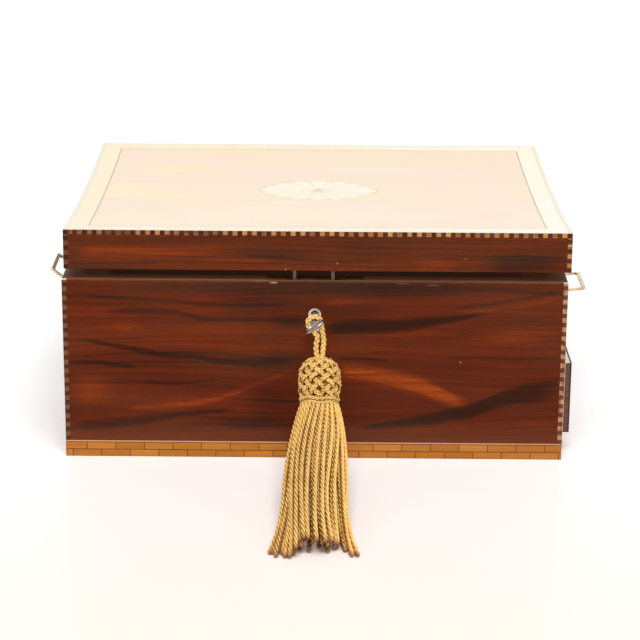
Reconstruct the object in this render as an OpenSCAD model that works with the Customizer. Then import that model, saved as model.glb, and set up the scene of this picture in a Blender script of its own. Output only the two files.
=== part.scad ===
// Inlaid dressing box with a side drawer, a lock and a key with a bullion tassel
// Millimetres, origin at the centre of the carcase's underside, front towards -Y, +Z up

/* [Carcase] */
// Width of the box over its veneers, from side to side
box_w = 305; // [260:1:380]
// Depth of the box over its veneers, from front to back
box_d = 254; // [220:1:300]
// Height of the carcase without its lid
body_h = 113.5; // [108:0.5:140]
// Thickness of the carcase boards
board_t = 11; // [10.5:0.5:14]
// Thickness of the sawn veneers
veneer_t = 1; // [0.6:0.1:1.2]
// Thickness of the bottom board
bottom_t = 8; // [5:0.5:10]
// Depth of the rebate that the bottom board sits in
bottom_rebate = 5; // [3:0.5:7]
// Thickness of the divider under the main compartment
divider_t = 6; // [4:0.5:8]
// Depth of the grooves that hold the divider
divider_groove = 3; // [2:0.5:4]
// Number of dovetail pins up a full corner
pin_count = 5; // [4:1:7]
// Half width of a dovetail pin at its shoulder
pin_shoulder = 6; // [4:0.5:7]
// Half width of a dovetail pin at its tip
pin_tip = 3.5; // [2:0.5:4]

/* [Lid] */
// Height of the lid over its veneers
lid_h = 24.4; // [21:0.2:32]
// Thickness of the lid's top board
top_board_t = 7; // [5:0.5:8]
// Thickness of the lid's rails
lid_rail_t = 11; // [10.5:0.5:14]
// How far the middle of the warped lid lies below its front and back edges
lid_dish = 4; // [1:0.5:5]
// Angle at which the lid stands ajar
lid_ajar = 1.5; // [0:0.1:6]
// How far the lid has crept to the right of the carcase
lid_shift = 1.5; // [0:0.1:2]
// Gap between the closed lid and the carcase
lid_seat_gap = 0.15; // [0.1:0.05:0.4]
// Thickness of the glue lines over and under the lid's curved top board
glue_t = 0.1; // [0.05:0.05:0.2]

/* [Inlay] */
// Width and height of the chequered edge stringing
string_w = 2.8; // [2:0.1:4]
// Length of one block of the chequered stringing
block_len = 2.9; // [2:0.1:4]
// Height of the brick banding round the base
base_band_h = 10.5; // [9:0.1:13]
// Height of the banding's lower edge above the floor
band_lift = 0.3; // [0.1:0.1:0.5]
// Width of the dark lines between the bricks
mortar_w = 0.55; // [0.3:0.05:0.8]
// Length from one brick to the next
brick_pitch = 17.6; // [12:0.1:24]
// Height of the pale line above the bricks
pale_line_h = 0.8; // [0.5:0.1:1.5]
// Distance from the middle of the front to the nearest upper joint
brick_joint_x = 1.3; // [0:0.1:8]
// Width of the crossbanding inside the stringing
crossband_w = 11; // [6:0.5:18]
// Width of the dark line inside the crossbanding
dark_line_w = 0.7; // [0.4:0.1:1.5]
// Half length of the lid's oval sunburst, without its pointed ends
sun_half_w = 37; // [25:0.5:50]
// Half height of the lid's oval sunburst
sun_half_d = 27.5; // [18:0.5:36]
// Number of petals in the sunburst
petal_count = 16; // [12:4:24]
// How far the two pointed ends stand out of the oval
sun_point = 2.2; // [0:0.1:4]
// Half length of the star in the middle of the sunburst
star_half = 5.5; // [3:0.5:7]

/* [Drawer] */
// Height of the drawer's front
drawer_h = 45.3; // [36:0.1:46]
// Height of the drawer's underside above the floor
drawer_z = 13.6; // [12.5:0.1:16]
// How far the drawer stands out of the side
drawer_open = 5.5; // [0:0.1:12]
// Gap beside and above the drawer's front
drawer_gap = 0.4; // [0.3:0.05:0.8]
// Gap between the drawer and its runners
runner_gap = 0.2; // [0.1:0.05:0.3]
// Space behind the closed drawer
drawer_back_gap = 6; // [4:0.5:20]
// Thickness of the drawer's front without its veneer
drawer_front_t = 10; // [9:0.5:12]
// Thickness of the drawer's sides and back
drawer_side_t = 6; // [5:0.5:8]
// Thickness of the drawer's bottom
drawer_bottom_t = 4; // [3:0.5:5]
// Height of the drawer's bottom above its lower edge
drawer_bottom_rise = 3; // [2:0.5:5]
// Depth of the grooves that hold the drawer's bottom
drawer_groove = 3; // [2:0.5:4]
// Height by which the sides stop short of the drawer's front
drawer_side_drop = 1.5; // [1:0.5:4]
// Width of the runners under the drawer
runner_w = 12; // [8:0.5:20]
// Radius of the round plate of the drawer's ring pull
pull_plate_r = 11; // [10:0.5:14]
// Depth of the dished recess
pull_cup_depth = 4; // [3.4:0.1:5]
// Radius of the pull's ring at the middle of its wire
pull_ring_r = 5; // [4.6:0.1:5.4]

/* [Hinges] */
// Distance from the middle of the back to the middle of each hinge
hinge_x = 95; // [60:1:110]
// Length of a hinge
hinge_len = 32; // [24:1:44]
// Radius of the hinge knuckles
knuckle_r = 2.2; // [1.9:0.1:2.6]
// Radius of the hinge pin
hinge_pin_r = 1; // [0.8:0.05:1.2]
// Radial clearance round the hinge pin
pin_clear = 0.05; // [0.02:0.01:0.1]
// Thickness of a hinge leaf
leaf_t = 1.2; // [0.9:0.1:1.6]
// Width of a hinge leaf inside the back face
leaf_w = 7.5; // [6:0.5:9]
// Distance of the hinge pin behind the back face
hinge_out = 1.2; // [1:0.1:1.6]

/* [Lock] */
// Depth of the key's axis below the carcase's top edge
key_drop = 20.7; // [20:0.1:21.4]
// Width of the lock's case
lock_w = 49; // [48:0.5:54]
// Thickness of the lock's plates
lock_plate_t = 1.2; // [1:0.1:1.5]
// Length of the lock's flanges beside the case
lock_flange = 4.5; // [4:0.5:6]
// Thickness of wood left in front of the lock
lock_web = 2.5; // [2:0.1:3]
// Thickness of the bolt
bolt_t = 1.5; // [1.2:0.1:1.8]
// Travel of the bolt
bolt_throw = 5.5; // [5:0.1:5.8]
// Height of the bolt's lower edge above the key's axis
bolt_rise = 6.2; // [6:0.1:6.6]
// Height of the bolt's plate
bolt_plate_h = 4.5; // [4:0.1:4.7]
// Position of the left staple of the link plate
staple_left_x = -12.3; // [-13:0.1:-11.6]
// Position of the right staple of the link plate
staple_right_x = 10.8; // [10.2:0.1:11.4]
// Thickness of a staple
staple_t = 2; // [1.6:0.1:2.2]
// Width of a staple from front to back
staple_w = 4.4; // [4.2:0.1:4.6]
// Length of a staple below the lid
staple_len = 9.5; // [9:0.1:9.6]

/* [Key] */
// Radius of the key's shank
shank_r = 2; // [1.7:0.1:2.1]
// Distance from the front face to the middle of the key's bow
bow_out = 24; // [23:0.5:28]
// Width of the key's bow over its wire
bow_w = 13.5; // [12:0.5:16]
// Length of the key's bow over its wire
bow_len = 10.5; // [9:0.5:11.5]
// Thickness of the bow's wire
bow_wire = 1.9; // [1.5:0.1:2.4]
// Angle at which the key stands in the lock
key_tilt = 35; // [20:1:50]
// Reach of the key's bit from its axis
bit_reach = 8; // [7.6:0.1:8.2]
// Thickness of the key's bit
bit_t = 1.6; // [1.2:0.1:2]
// Outer radius of the escutcheon's ring
escutcheon_r = 3.85; // [3.5:0.05:4.6]
// Radius of the round part of the keyhole
keyhole_r = 2.3; // [2.2:0.05:2.6]
// Length of the keyhole from its centre to its foot
keyhole_len = 9; // [8.6:0.1:10]

/* [Handles] */
// Height of the handles' pivots above the floor
bail_z = 75; // [70:0.5:80]
// Distance of the handles' pivots from the side faces
bail_out = 2.5; // [2.4:0.1:4]
// Reach of a handle from its pivot to the middle of its grip
bail_reach = 20.4; // [16:0.2:24]
// Half length of a handle's grip over its corners
bail_half = 18.8; // [15:0.2:26]
// Width of a handle's wire
bail_wire_w = 2.2; // [1.8:0.1:2.4]
// Thickness of a handle's wire
bail_wire_t = 1.4; // [1.2:0.1:1.8]
// Radius of the studs that turn in the posts
stud_r = 0.6; // [0.5:0.05:0.8]
// Distance from the middle of a handle to each of its posts
post_y = 13; // [9:0.5:13]
// Radius of the heads of the posts
post_r = 1.9; // [1.7:0.1:2.2]
// Radius of the small roses under the posts
rose_r = 4; // [3:0.5:5]
// Angle of the left handle above the horizontal
left_bail_angle = 37; // [0:1:60]
// Angle of the right handle above the horizontal
right_bail_angle = 7; // [0:1:60]

/* [Tassel] */
// Thickness of the cord that carries the tassel
cord_d = 3.1; // [2.6:0.1:3.2]
// Length of the tassel's netted head
head_len = 27.6; // [24:0.2:30]
// Greatest radius of the tassel's head
head_r = 12.9; // [11:0.1:14]
// Lean of the head from the upright
head_lean = 40.6; // [36:0.2:45]
// Half width of the skirt where it leaves the head
skirt_top_half = 11.8; // [10:0.1:13]
// Half width of the skirt at its ends
skirt_end_half = 25.1; // [20:0.1:30]
// Half height of the skirt at its ends
skirt_end_rise = 7.2; // [5:0.1:9]
// Distance that the skirt reaches forward of the head
skirt_run = 107; // [80:0.5:120]

/* [Hidden] */
$fn = 32;

// Outer and inner faces of the carcase
face_x = box_w / 2;
face_y = box_d / 2;
core_x = face_x - veneer_t;
core_y = face_y - veneer_t;
inner_x = core_x - board_t;
inner_y = core_y - board_t;
// Length that makes a cut pass through what it cuts
past = 1;

// The drawer's opening in the right end
opening_low = drawer_z - drawer_gap;
opening_high = drawer_z + drawer_h + drawer_gap;
divider_z = opening_high + 2;

// The lid, worked out as it lies when closed
lid_low = body_h + lid_seat_gap;
lid_top = body_h + lid_h;
dish_r = box_d * box_d / (8 * lid_dish) + lid_dish / 2;
dish_z = lid_top - lid_dish + dish_r;
hinge_y = face_y + hinge_out;
lid_core_x = face_x - veneer_t;
lid_core_y = face_y - veneer_t;
lid_inner_x = lid_core_x - lid_rail_t;
lid_inner_y = lid_core_y - lid_rail_t;

// The lock's levels from front to back
key_z = body_h - key_drop;
lock_front_y = -core_y + lock_web;
lock_cap_t = 0.8;
lock_fit = 0.1;
lock_rim_t = 1;
plate_back_y = -inner_y;
plate_front_y = plate_back_y - lock_plate_t;
staple_in = 6.25;
staple_y = -face_y + staple_in;
bolt_y = staple_y - bolt_t / 2;
cap_back_y = lock_front_y + lock_fit + lock_cap_t;
bolt_z = key_z + bolt_rise;
bolt_top_z = bolt_z + bolt_plate_h;
bit_room = 3.3;
lock_low_z = key_z - bit_reach - bit_room;
cap_top_z = bolt_top_z;
guide_clear = 0.2;
nose_gap = 0.7;
nose_len = 5.1;
neck_w = 1.8;
staple_foot = 1.7;
nose_z = lid_low - staple_len + staple_foot;
nose_h = 2.6;
bit_front_gap = 0.5;
bit_back_gap = 1.6;
bit_front_y = cap_back_y + bit_front_gap;
bit_back_y = plate_front_y - bit_back_gap;
talon_gap = 0.5;
drill_pin_r = 0.9;
drill_pin_clear = 0.1;
talon_half = sqrt(bit_reach * bit_reach - bolt_rise * bolt_rise) + bit_t / 2 + talon_gap;

// The key's bow
bow_bend_r = (bow_len - bow_wire) / 2;
bow_straight = (bow_w - bow_len) / 2;

// The tassel's cord, from its head up the left, over the key's shank and down the right
cord_left = [
    [1.7, -151, 72.5], [1.4, -149.6, 75.2], [1.0, -148.2, 78], [1.2, -146.8, 81],
    [1.8, -145.6, 84], [0.9, -144.8, 86.2], [-1.4, -144.1, 88.3], [-3.4, -143.6, 90.6],
    [-3.9, -143.5, 92.8], [-3.4, -143.5, 94.8], [-1.9, -143.5, 96.2]];
cord_top = [0, -143.5, 96.7];
cord_right = [
    [1.9, -143.5, 96.2], [3.4, -143.5, 94.8], [3.9, -143.5, 92.8], [4.2, -143.6, 90.6],
    [4.7, -144.4, 87.6], [5.4, -145.6, 84], [5.5, -146.8, 81], [5.2, -148.2, 78],
    [4.9, -149.6, 75.2], [4.8, -151, 72.5]];
cord_route = concat(cord_left, [cord_top], cord_right);
cord_sides = 8;
head_top = [3.3, -150.5, 73];
skirt_top = head_top + head_len * [0, -sin(head_lean), -cos(head_lean)];
floor_gap = 0.3;
skirt_end = [0.7, skirt_top[1] - skirt_run, skirt_end_rise + floor_gap];
skirt_rings = 12;
skirt_points = 36;

// A box from one corner to the opposite one
module block(low, high) {
    translate(low) cube(high - low);
}

// A screw along -Z with its countersunk head's top at the origin
module screw(r, len) {
    translate([0, 0, -r]) cylinder(h = r, r1 = r, r2 = 2 * r);
    translate([0, 0, -len]) cylinder(h = len - r, r = r);
}

// Corner and edge stringing

module corner_columns(low, high) {
    for (sx = [-1, 1], sy = [-1, 1])
        translate([sx * (face_x - string_w / 2), sy * (face_y - string_w / 2), low])
            linear_extrude(high - low) square(string_w, center = true);
}

// Every second block of the four corner columns; first is 0 or 1
module corner_blocks(low, high, first) {
    count = ceil((high - low) / block_len);
    for (i = [first : 2 : count - 1])
        corner_columns(low + i * block_len, min(low + (i + 1) * block_len, high));
}

// Carcase

// Dovetail pins at one end, seen from the front as narrowing outwards
module end_pins(side) {
    for (i = [0 : pin_count - 1]) {
        z = body_h * i / (pin_count - 1);
        for (sy = [-1, 1])
            translate([0, sy * (inner_y + core_y) / 2, 0])
                rotate([90, 0, 0])
                    translate([0, 0, -board_t / 2])
                        linear_extrude(board_t)
                            polygon([[side * inner_x, z - pin_shoulder],
                                [side * core_x, z - pin_tip],
                                [side * core_x, z + pin_tip],
                                [side * inner_x, z + pin_shoulder]]);
    }
}

// The levels where the right end has wood, below and above the drawer
module right_end_lower_zone() {
    block([0, -box_d, 0], [box_w, box_d, opening_low]);
}

module right_end_upper_zone() {
    block([0, -box_d, opening_high], [box_w, box_d, body_h]);
}

module left_end_blank() {
    intersection() {
        union() {
            block([-core_x, -inner_y, 0], [-inner_x, inner_y, body_h]);
            end_pins(-1);
        }
        block([-box_w, -box_d, 0], [0, box_d, body_h]);
    }
}

module right_end_blank() {
    block([inner_x, -inner_y, 0], [core_x, inner_y, body_h]);
    end_pins(1);
}

module bottom_shape() {
    block([-inner_x - bottom_rebate, -inner_y - bottom_rebate, 0],
        [inner_x + bottom_rebate, inner_y + bottom_rebate, bottom_t]);
}

module divider_shape() {
    block([-inner_x - divider_groove, -inner_y - divider_groove, divider_z],
        [inner_x + divider_groove, inner_y + divider_groove, divider_z + divider_t]);
}

// What is cut out of every wall of the carcase
module wall_cuts() {
    bottom_shape();
    divider_shape();
    corner_columns(-past, body_h + past);
}

module long_wall() {
    difference() {
        block([-core_x, -core_y, 0], [core_x, -inner_y, body_h]);
        left_end_blank();
        intersection() {
            right_end_blank();
            right_end_lower_zone();
        }
        intersection() {
            right_end_blank();
            right_end_upper_zone();
        }
        wall_cuts();
    }
}

module front_board() {
    color("saddlebrown") difference() {
        long_wall();
        lock_room();
        lock_screw_set();
        keyhole_cut(-core_y - past, lock_front_y + past);
        escutcheon_shape();
    }
}

module back_board() {
    color("saddlebrown") difference() {
        mirror([0, 1, 0]) long_wall();
        hinge_room();
        hinge_box_screw_set();
    }
}

module left_end_board() {
    color("saddlebrown") difference() {
        left_end_blank();
        wall_cuts();
        post_holes(-1);
    }
}

module right_end_upper_board() {
    color("saddlebrown") difference() {
        intersection() {
            right_end_blank();
            right_end_upper_zone();
        }
        wall_cuts();
        post_holes(1);
    }
}

module right_end_lower_rail() {
    color("saddlebrown") difference() {
        intersection() {
            right_end_blank();
            right_end_lower_zone();
        }
        wall_cuts();
    }
}

module bottom_board() {
    color("sienna") bottom_shape();
}

module drawer_divider() {
    color("sienna") divider_shape();
}

// Strips beside both long walls that the drawer slides on
module drawer_runners() {
    color("peru") for (s = [-1, 1])
        block([-inner_x, s < 0 ? -inner_y : inner_y - runner_w, bottom_t],
            [inner_x, s < 0 ? -inner_y + runner_w : inner_y, drawer_z - runner_gap]);
}

// Veneers

module front_sheet() {
    block([-face_x, -face_y, base_band_h], [face_x, -core_y, body_h]);
}

module end_sheet() {
    block([-face_x, -core_y, base_band_h], [-core_x, core_y, body_h]);
}

module front_veneer() {
    color("brown") difference() {
        front_sheet();
        corner_columns(0, body_h + past);
        escutcheon_shape();
        keyhole_cut(-face_y - past, -core_y + past);
    }
}

module back_veneer() {
    color("brown") difference() {
        mirror([0, 1, 0]) front_sheet();
        corner_columns(0, body_h + past);
        hinge_room();
    }
}

module left_end_veneer() {
    color("brown") difference() {
        end_sheet();
        corner_columns(0, body_h + past);
        post_holes(-1);
    }
}

module right_end_veneer() {
    color("brown") difference() {
        mirror([1, 0, 0]) end_sheet();
        corner_columns(0, body_h + past);
        post_holes(1);
        block([0, -inner_y, opening_low], [box_w, inner_y, opening_high]);
    }
}

// Brick banding round the base

row_h = (base_band_h - band_lift - pale_line_h - 2 * mortar_w) / 2;

// One row of bricks along X from -half to half, in the thickness of the veneer
module brick_row(half, low, joint) {
    first = joint - brick_pitch * ceil((joint + half) / brick_pitch);
    count = ceil(2 * half / brick_pitch) + 1;
    for (i = [0 : count]) {
        from = max(first + i * brick_pitch + mortar_w / 2, -half);
        to = min(first + (i + 1) * brick_pitch - mortar_w / 2, half);
        if (to - from > mortar_w) block([from, 0, low], [to, veneer_t, low + row_h]);
    }
}

module side_bricks(half) {
    brick_row(half, band_lift, brick_joint_x + brick_pitch / 2);
    brick_row(half, band_lift + row_h + mortar_w, brick_joint_x);
    block([-half, 0, base_band_h - pale_line_h], [half, veneer_t, base_band_h]);
}

module side_band(half) {
    block([-half, 0, band_lift], [half, veneer_t, base_band_h]);
}

// Puts what is drawn along X on each of the four faces, long on front and back
module four_sides() {
    for (turn = [0, 180]) rotate([0, 0, turn]) translate([0, -face_y, 0]) children(0);
    for (turn = [90, 270]) rotate([0, 0, turn]) translate([0, -face_x, 0]) children(1);
}

module base_bricks() {
    color("goldenrod") four_sides() {
        side_bricks(face_x);
        side_bricks(core_y);
    }
}

module base_brick_lines() {
    color("maroon") difference() {
        four_sides() {
            side_band(face_x);
            side_band(core_y);
        }
        four_sides() {
            side_bricks(face_x);
            side_bricks(core_y);
        }
    }
}

module corner_string_dark() {
    color("black") difference() {
        corner_blocks(base_band_h, body_h, 0);
        hinge_room();
    }
}

module corner_string_light() {
    color("wheat") difference() {
        corner_blocks(base_band_h, body_h, 1);
        hinge_room();
    }
}

// Lock, let into the inner face of the front board

module keyhole_outline(grow) {
    circle(keyhole_r + grow);
    polygon([[-0.9 - grow, 0], [0.9 + grow, 0],
        [1.3 + grow, -keyhole_len - grow], [-1.3 - grow, -keyhole_len - grow]]);
}

module keyhole_cut(from, to) {
    translate([0, to, key_z]) rotate([90, 0, 0]) linear_extrude(to - from) keyhole_outline(0);
}

escutcheon_wall = escutcheon_r - keyhole_r;
escutcheon_depth = 2;

module escutcheon_shape() {
    translate([0, -face_y + escutcheon_depth, key_z])
        rotate([90, 0, 0]) linear_extrude(escutcheon_depth) keyhole_outline(escutcheon_wall);
}

module escutcheon() {
    color("burlywood") difference() {
        escutcheon_shape();
        keyhole_cut(-face_y - past, -face_y + escutcheon_depth + past);
    }
}

module lock_back_plate() {
    block([-lock_w / 2 - lock_flange, plate_front_y, lock_low_z],
        [lock_w / 2 + lock_flange, plate_back_y, body_h - lock_plate_t]);
}

module lock_top_plate() {
    block([-lock_w / 2 - lock_flange, lock_front_y, body_h - lock_plate_t],
        [lock_w / 2 + lock_flange, plate_back_y, body_h]);
}

module lock_box() {
    block([-lock_w / 2, lock_front_y, lock_low_z],
        [lock_w / 2, plate_front_y, body_h - lock_plate_t]);
}

module lock_room() {
    lock_back_plate();
    lock_top_plate();
    lock_box();
}

slot_side_gap = 0.6;
slot_end_gap = 0.4;

module staple_slots() {
    half_x = staple_t / 2 + slot_side_gap;
    half_y = staple_w / 2 + slot_end_gap;
    for (x = [staple_left_x, staple_right_x])
        block([x - half_x, staple_y - half_y, body_h - lock_plate_t - past],
            [x + half_x, staple_y + half_y, body_h + past]);
}

ledge_t = 2.2;
lip_h = bolt_plate_h - 1;

// Ledge and lips at one end of the case that guide the bolt
module bolt_guide(from, to) {
    ledge_z = bolt_z - guide_clear;
    block([from, cap_back_y, ledge_z - ledge_t], [to, plate_front_y, ledge_z]);
    block([from, cap_back_y, ledge_z], [to, bolt_y - guide_clear, bolt_z + lip_h]);
    block([from, bolt_y + bolt_t + guide_clear, ledge_z], [to, plate_front_y, bolt_z + lip_h]);
}

spring_r = 18;
spring_t = 0.5;
spring_shift = 3.35;
spring_x = (staple_left_x + staple_right_x) / 2 - spring_shift;
spring_half = 4;
spring_low_z = bolt_top_z + guide_clear;
stump_r = 0.8;
stump_x = 3;
stump_gap = 0.1;
stump_z = spring_low_z + spring_r
    - (spring_r - spring_t - stump_r - stump_gap) * cos(asin(stump_x / spring_r));
guide_left_x = staple_left_x - 0.8;
guide_right_x = staple_right_x - 1.8;

module lock_case() {
    color("goldenrod") {
        difference() {
            union() {
                lock_back_plate();
                lock_top_plate();
                difference() {
                    block([-lock_w / 2 + lock_fit, cap_back_y, lock_low_z + lock_fit],
                        [lock_w / 2 - lock_fit, plate_front_y, body_h - lock_plate_t]);
                    block([-lock_w / 2 + lock_fit + lock_rim_t, cap_back_y - past,
                            lock_low_z + lock_fit + lock_rim_t],
                        [lock_w / 2 - lock_fit - lock_rim_t, plate_front_y,
                            body_h - lock_plate_t]);
                }
                bolt_guide(-lock_w / 2 + lock_fit, guide_left_x);
                bolt_guide(guide_right_x, lock_w / 2 - lock_fit);
                for (s = [-1, 1])
                    translate([spring_x + stump_x * s, plate_front_y, stump_z])
                        rotate([90, 0, 0])
                            cylinder(h = plate_front_y - bolt_y, r = stump_r);
                translate([0, plate_front_y, key_z]) rotate([90, 0, 0])
                    cylinder(h = plate_front_y - bit_front_y, r = drill_pin_r);
            }
            staple_slots();
            lock_screw_set();
        }
    }
}

module lock_cap() {
    color("goldenrod") difference() {
        block([-lock_w / 2 + lock_fit, lock_front_y + lock_fit, lock_low_z + lock_fit],
            [lock_w / 2 - lock_fit, cap_back_y, cap_top_z]);
        keyhole_cut(-face_y, cap_back_y + past);
    }
}

// Blade spring that bears on the bolt's upper edge
module lock_spring() {
    color("slategray") translate([spring_x, bolt_y + bolt_t, spring_low_z + spring_r])
        rotate([90, 0, 0]) intersection() {
            difference() {
                cylinder(h = bolt_t, r = spring_r, $fn = 96);
                translate([0, 0, -past])
                    cylinder(h = bolt_t + 2 * past, r = spring_r - spring_t, $fn = 96);
            }
            translate([-spring_half, -spring_r - past, -past])
                cube([2 * spring_half, spring_r, bolt_t + 2 * past]);
        }
}

lock_screw_r = 1;
lock_screw_len = 7;
lock_screw_in = 6;

module lock_screw_set() {
    for (sx = [-1, 1], z = [lock_low_z + lock_screw_in, body_h - lock_screw_in])
        translate([sx * (lock_w / 2 + lock_flange / 2), plate_back_y, z])
            rotate([-90, 0, 0]) screw(lock_screw_r, lock_screw_len);
}

module lock_screws() {
    color("darkgoldenrod") lock_screw_set();
}

module hook(staple_x) {
    tip = staple_x - staple_t / 2 - nose_gap;
    block([tip - nose_len - neck_w, 0, bolt_plate_h - past],
        [tip - nose_len, bolt_t, nose_z + nose_h - bolt_z]);
    block([tip - nose_len - past, 0, nose_z - bolt_z], [tip, bolt_t, nose_z + nose_h - bolt_z]);
}

// Bolt with two hooked noses; its wide notch takes the key's bit
module lock_bolt() {
    bolt_left = staple_left_x - staple_t / 2 - nose_gap - nose_len - neck_w;
    bolt_right = staple_right_x + bolt_throw;
    color("darkgoldenrod") translate([0, bolt_y, bolt_z]) difference() {
        union() {
            block([bolt_left, 0, 0], [bolt_right, bolt_t, bolt_plate_h]);
            hook(staple_left_x);
            hook(staple_right_x);
        }
        block([-talon_half - bolt_throw, -past, -past],
            [talon_half, bolt_t + past, bit_reach - bolt_rise + talon_gap]);
    }
}

// Key, drawn with its bow level and turned to its place

module key_bow() {
    for (s = [-1, 1]) {
        translate([s * bow_straight, 0, 0])
            rotate([0, 0, s > 0 ? -90 : 90]) rotate_extrude(angle = 180, $fn = 64)
                translate([bow_bend_r, 0]) circle(d = bow_wire, $fn = 24);
        translate([-bow_straight, s * bow_bend_r, 0]) rotate([0, 90, 0])
            cylinder(h = 2 * bow_straight, d = bow_wire, $fn = 24);
    }
}

module key() {
    collar_len = 1.6;
    shank_front_y = -face_y - bow_out + bow_bend_r;
    color("lightsteelblue") translate([0, 0, key_z]) rotate([0, -key_tilt, 0]) {
        translate([0, -face_y - bow_out, 0]) key_bow();
        difference() {
            union() {
                translate([0, shank_front_y, 0]) rotate([-90, 0, 0])
                    cylinder(h = bit_back_y - shank_front_y, r = shank_r);
                translate([0, shank_front_y, 0]) rotate([-90, 0, 0])
                    cylinder(h = collar_len, r = shank_r + 0.25);
                block([-bit_reach, bit_front_y, -bit_t / 2], [0, bit_back_y, bit_t / 2]);
            }
            translate([0, bit_front_y - 1, 0]) rotate([-90, 0, 0])
                cylinder(h = bit_back_y - bit_front_y + 1 + past, r = drill_pin_r + drill_pin_clear);
        }
    }
}

// Link plate under the lid's front rail, with two staples for the bolt

link_end = 7;
link_border = 1.5;
link_screw_x = 4;
link_screw_r = 0.9;
link_screw_len = 6;
eye_gap = 0.55;

module link_plate_body() {
    half_y = staple_w / 2 + link_border;
    block([staple_left_x - link_end, staple_y - half_y, lid_low],
        [staple_right_x + link_end, staple_y + half_y, lid_low + lock_plate_t]);
}

module link_plate() {
    eye_w = bolt_t + 2 * eye_gap;
    color("goldenrod") lid_place() difference() {
        union() {
            link_plate_body();
            for (x = [staple_left_x, staple_right_x])
                block([x - staple_t / 2, staple_y - staple_w / 2, lid_low - staple_len],
                    [x + staple_t / 2, staple_y + staple_w / 2, lid_low + 0.1]);
        }
        for (x = [staple_left_x, staple_right_x])
            block([x - staple_t, staple_y - eye_w / 2, nose_z - eye_gap],
                [x + staple_t, staple_y + eye_w / 2, nose_z + nose_h + eye_gap]);
        link_screw_set();
    }
}

module link_screw_set() {
    for (x = [staple_left_x - link_screw_x, staple_right_x + link_screw_x])
        translate([x, staple_y, lid_low]) rotate([180, 0, 0])
            screw(link_screw_r, link_screw_len);
}

module link_plate_screws() {
    color("darkgoldenrod") lid_place() link_screw_set();
}

// Hinges, two butts let into the back edge

knuckle_len = hinge_len / 3;
knuckle_gap = 0.15;
knuckle_clear = 0.4;
hinge_end_gap = 0.3;
leaf_back_y = hinge_y - knuckle_r - knuckle_clear;

module both_hinges() {
    for (s = [-1, 1]) translate([s * hinge_x, 0, 0]) children();
}

// A knuckle with the tab that joins it to its leaf; side is -1 below and 1 above the joint line
module knuckle(from, to, side, level) {
    difference() {
        union() {
            translate([from, hinge_y, body_h]) rotate([0, 90, 0])
                cylinder(h = to - from, r = knuckle_r);
            block([from, leaf_back_y - past, side < 0 ? level - leaf_t : level],
                [to, hinge_y, side < 0 ? level : level + leaf_t]);
        }
        translate([from - past, hinge_y, body_h]) rotate([0, 90, 0])
            cylinder(h = to - from + 2 * past, r = hinge_pin_r + pin_clear);
    }
}

module leaf_plate(low, high) {
    block([-hinge_len / 2, face_y - leaf_w, low], [hinge_len / 2, leaf_back_y, high]);
}

module knuckle_room() {
    translate([-hinge_len / 2 - hinge_end_gap, hinge_y, body_h]) rotate([0, 90, 0])
        cylinder(h = hinge_len + 2 * hinge_end_gap, r = knuckle_r + knuckle_clear);
}

module hinge_room() {
    both_hinges() {
        block([-hinge_len / 2, face_y - leaf_w, body_h - leaf_t],
            [hinge_len / 2, hinge_y, body_h + past]);
        knuckle_room();
    }
}

module lid_hinge_room() {
    both_hinges() {
        block([-hinge_len / 2, face_y - leaf_w, lid_low - past],
            [hinge_len / 2, hinge_y, lid_low + leaf_t]);
        knuckle_room();
    }
}

module hinge_box_leaves() {
    color("darkgoldenrod") difference() {
        both_hinges() {
            leaf_plate(body_h - leaf_t, body_h);
            knuckle(-hinge_len / 2, -knuckle_len / 2 - knuckle_gap, -1, body_h);
            knuckle(knuckle_len / 2 + knuckle_gap, hinge_len / 2, -1, body_h);
        }
        hinge_box_screw_set();
    }
}

module hinge_lid_leaves() {
    color("darkgoldenrod") lid_place() difference() {
        both_hinges() {
            leaf_plate(lid_low, lid_low + leaf_t);
            knuckle(-knuckle_len / 2 + knuckle_gap, knuckle_len / 2 - knuckle_gap, 1, lid_low);
        }
        hinge_lid_screw_set();
    }
}

module hinge_pins() {
    color("darkgoldenrod") both_hinges() translate([-hinge_len / 2, hinge_y, body_h])
        rotate([0, 90, 0]) cylinder(h = hinge_len, r = hinge_pin_r);
}

screw_r = 0.9;
screw_len = 8;
screw_y = face_y - leaf_w / 2 - screw_r;

module hinge_box_screw_set() {
    both_hinges() for (x = [-1, 0, 1])
        translate([x * hinge_len / 3, screw_y, body_h]) screw(screw_r, screw_len);
}

module hinge_box_screws() {
    color("darkgoldenrod") hinge_box_screw_set();
}

module hinge_lid_screw_set() {
    both_hinges() for (x = [-1, 0, 1])
        translate([x * hinge_len / 3, screw_y, lid_low]) rotate([180, 0, 0])
            screw(screw_r, screw_len);
}

module hinge_lid_screws() {
    color("darkgoldenrod") lid_place() hinge_lid_screw_set();
}

// Lid

// Turns the closed lid about its hinge pins to where it stands ajar
module lid_place() {
    translate([0, hinge_y, body_h]) rotate([-lid_ajar, 0, 0])
        translate([0, -hinge_y, -body_h]) children();
}

module lid_wood() {
    lid_place() translate([lid_shift, 0, 0]) children();
}

// The hinge and link plate rooms, moved back so that they stay on the carcase's lines
module lid_fittings_room() {
    translate([-lid_shift, 0, 0]) {
        lid_hinge_room();
        hinge_lid_screw_set();
        link_plate_body();
        link_screw_set();
    }
}

// The long cylinder whose side is the dished surface, at a depth below that surface
module dish(depth) {
    translate([-box_w, 0, dish_z]) rotate([0, 90, 0])
        cylinder(h = 2 * box_w, r = dish_r + depth, $fn = 720);
}

// A layer of the lid under its dished surface, over a plan outline
module dished_layer(from, to) {
    difference() {
        intersection() {
            translate([0, 0, body_h]) linear_extrude(lid_h) children();
            dish(to);
        }
        dish(from);
    }
}

// Height of the dished surface at a distance from the middle
function dish_height(y) = dish_z - sqrt(dish_r * dish_r - y * y);

edge_inner_y = face_y - string_w;

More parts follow.
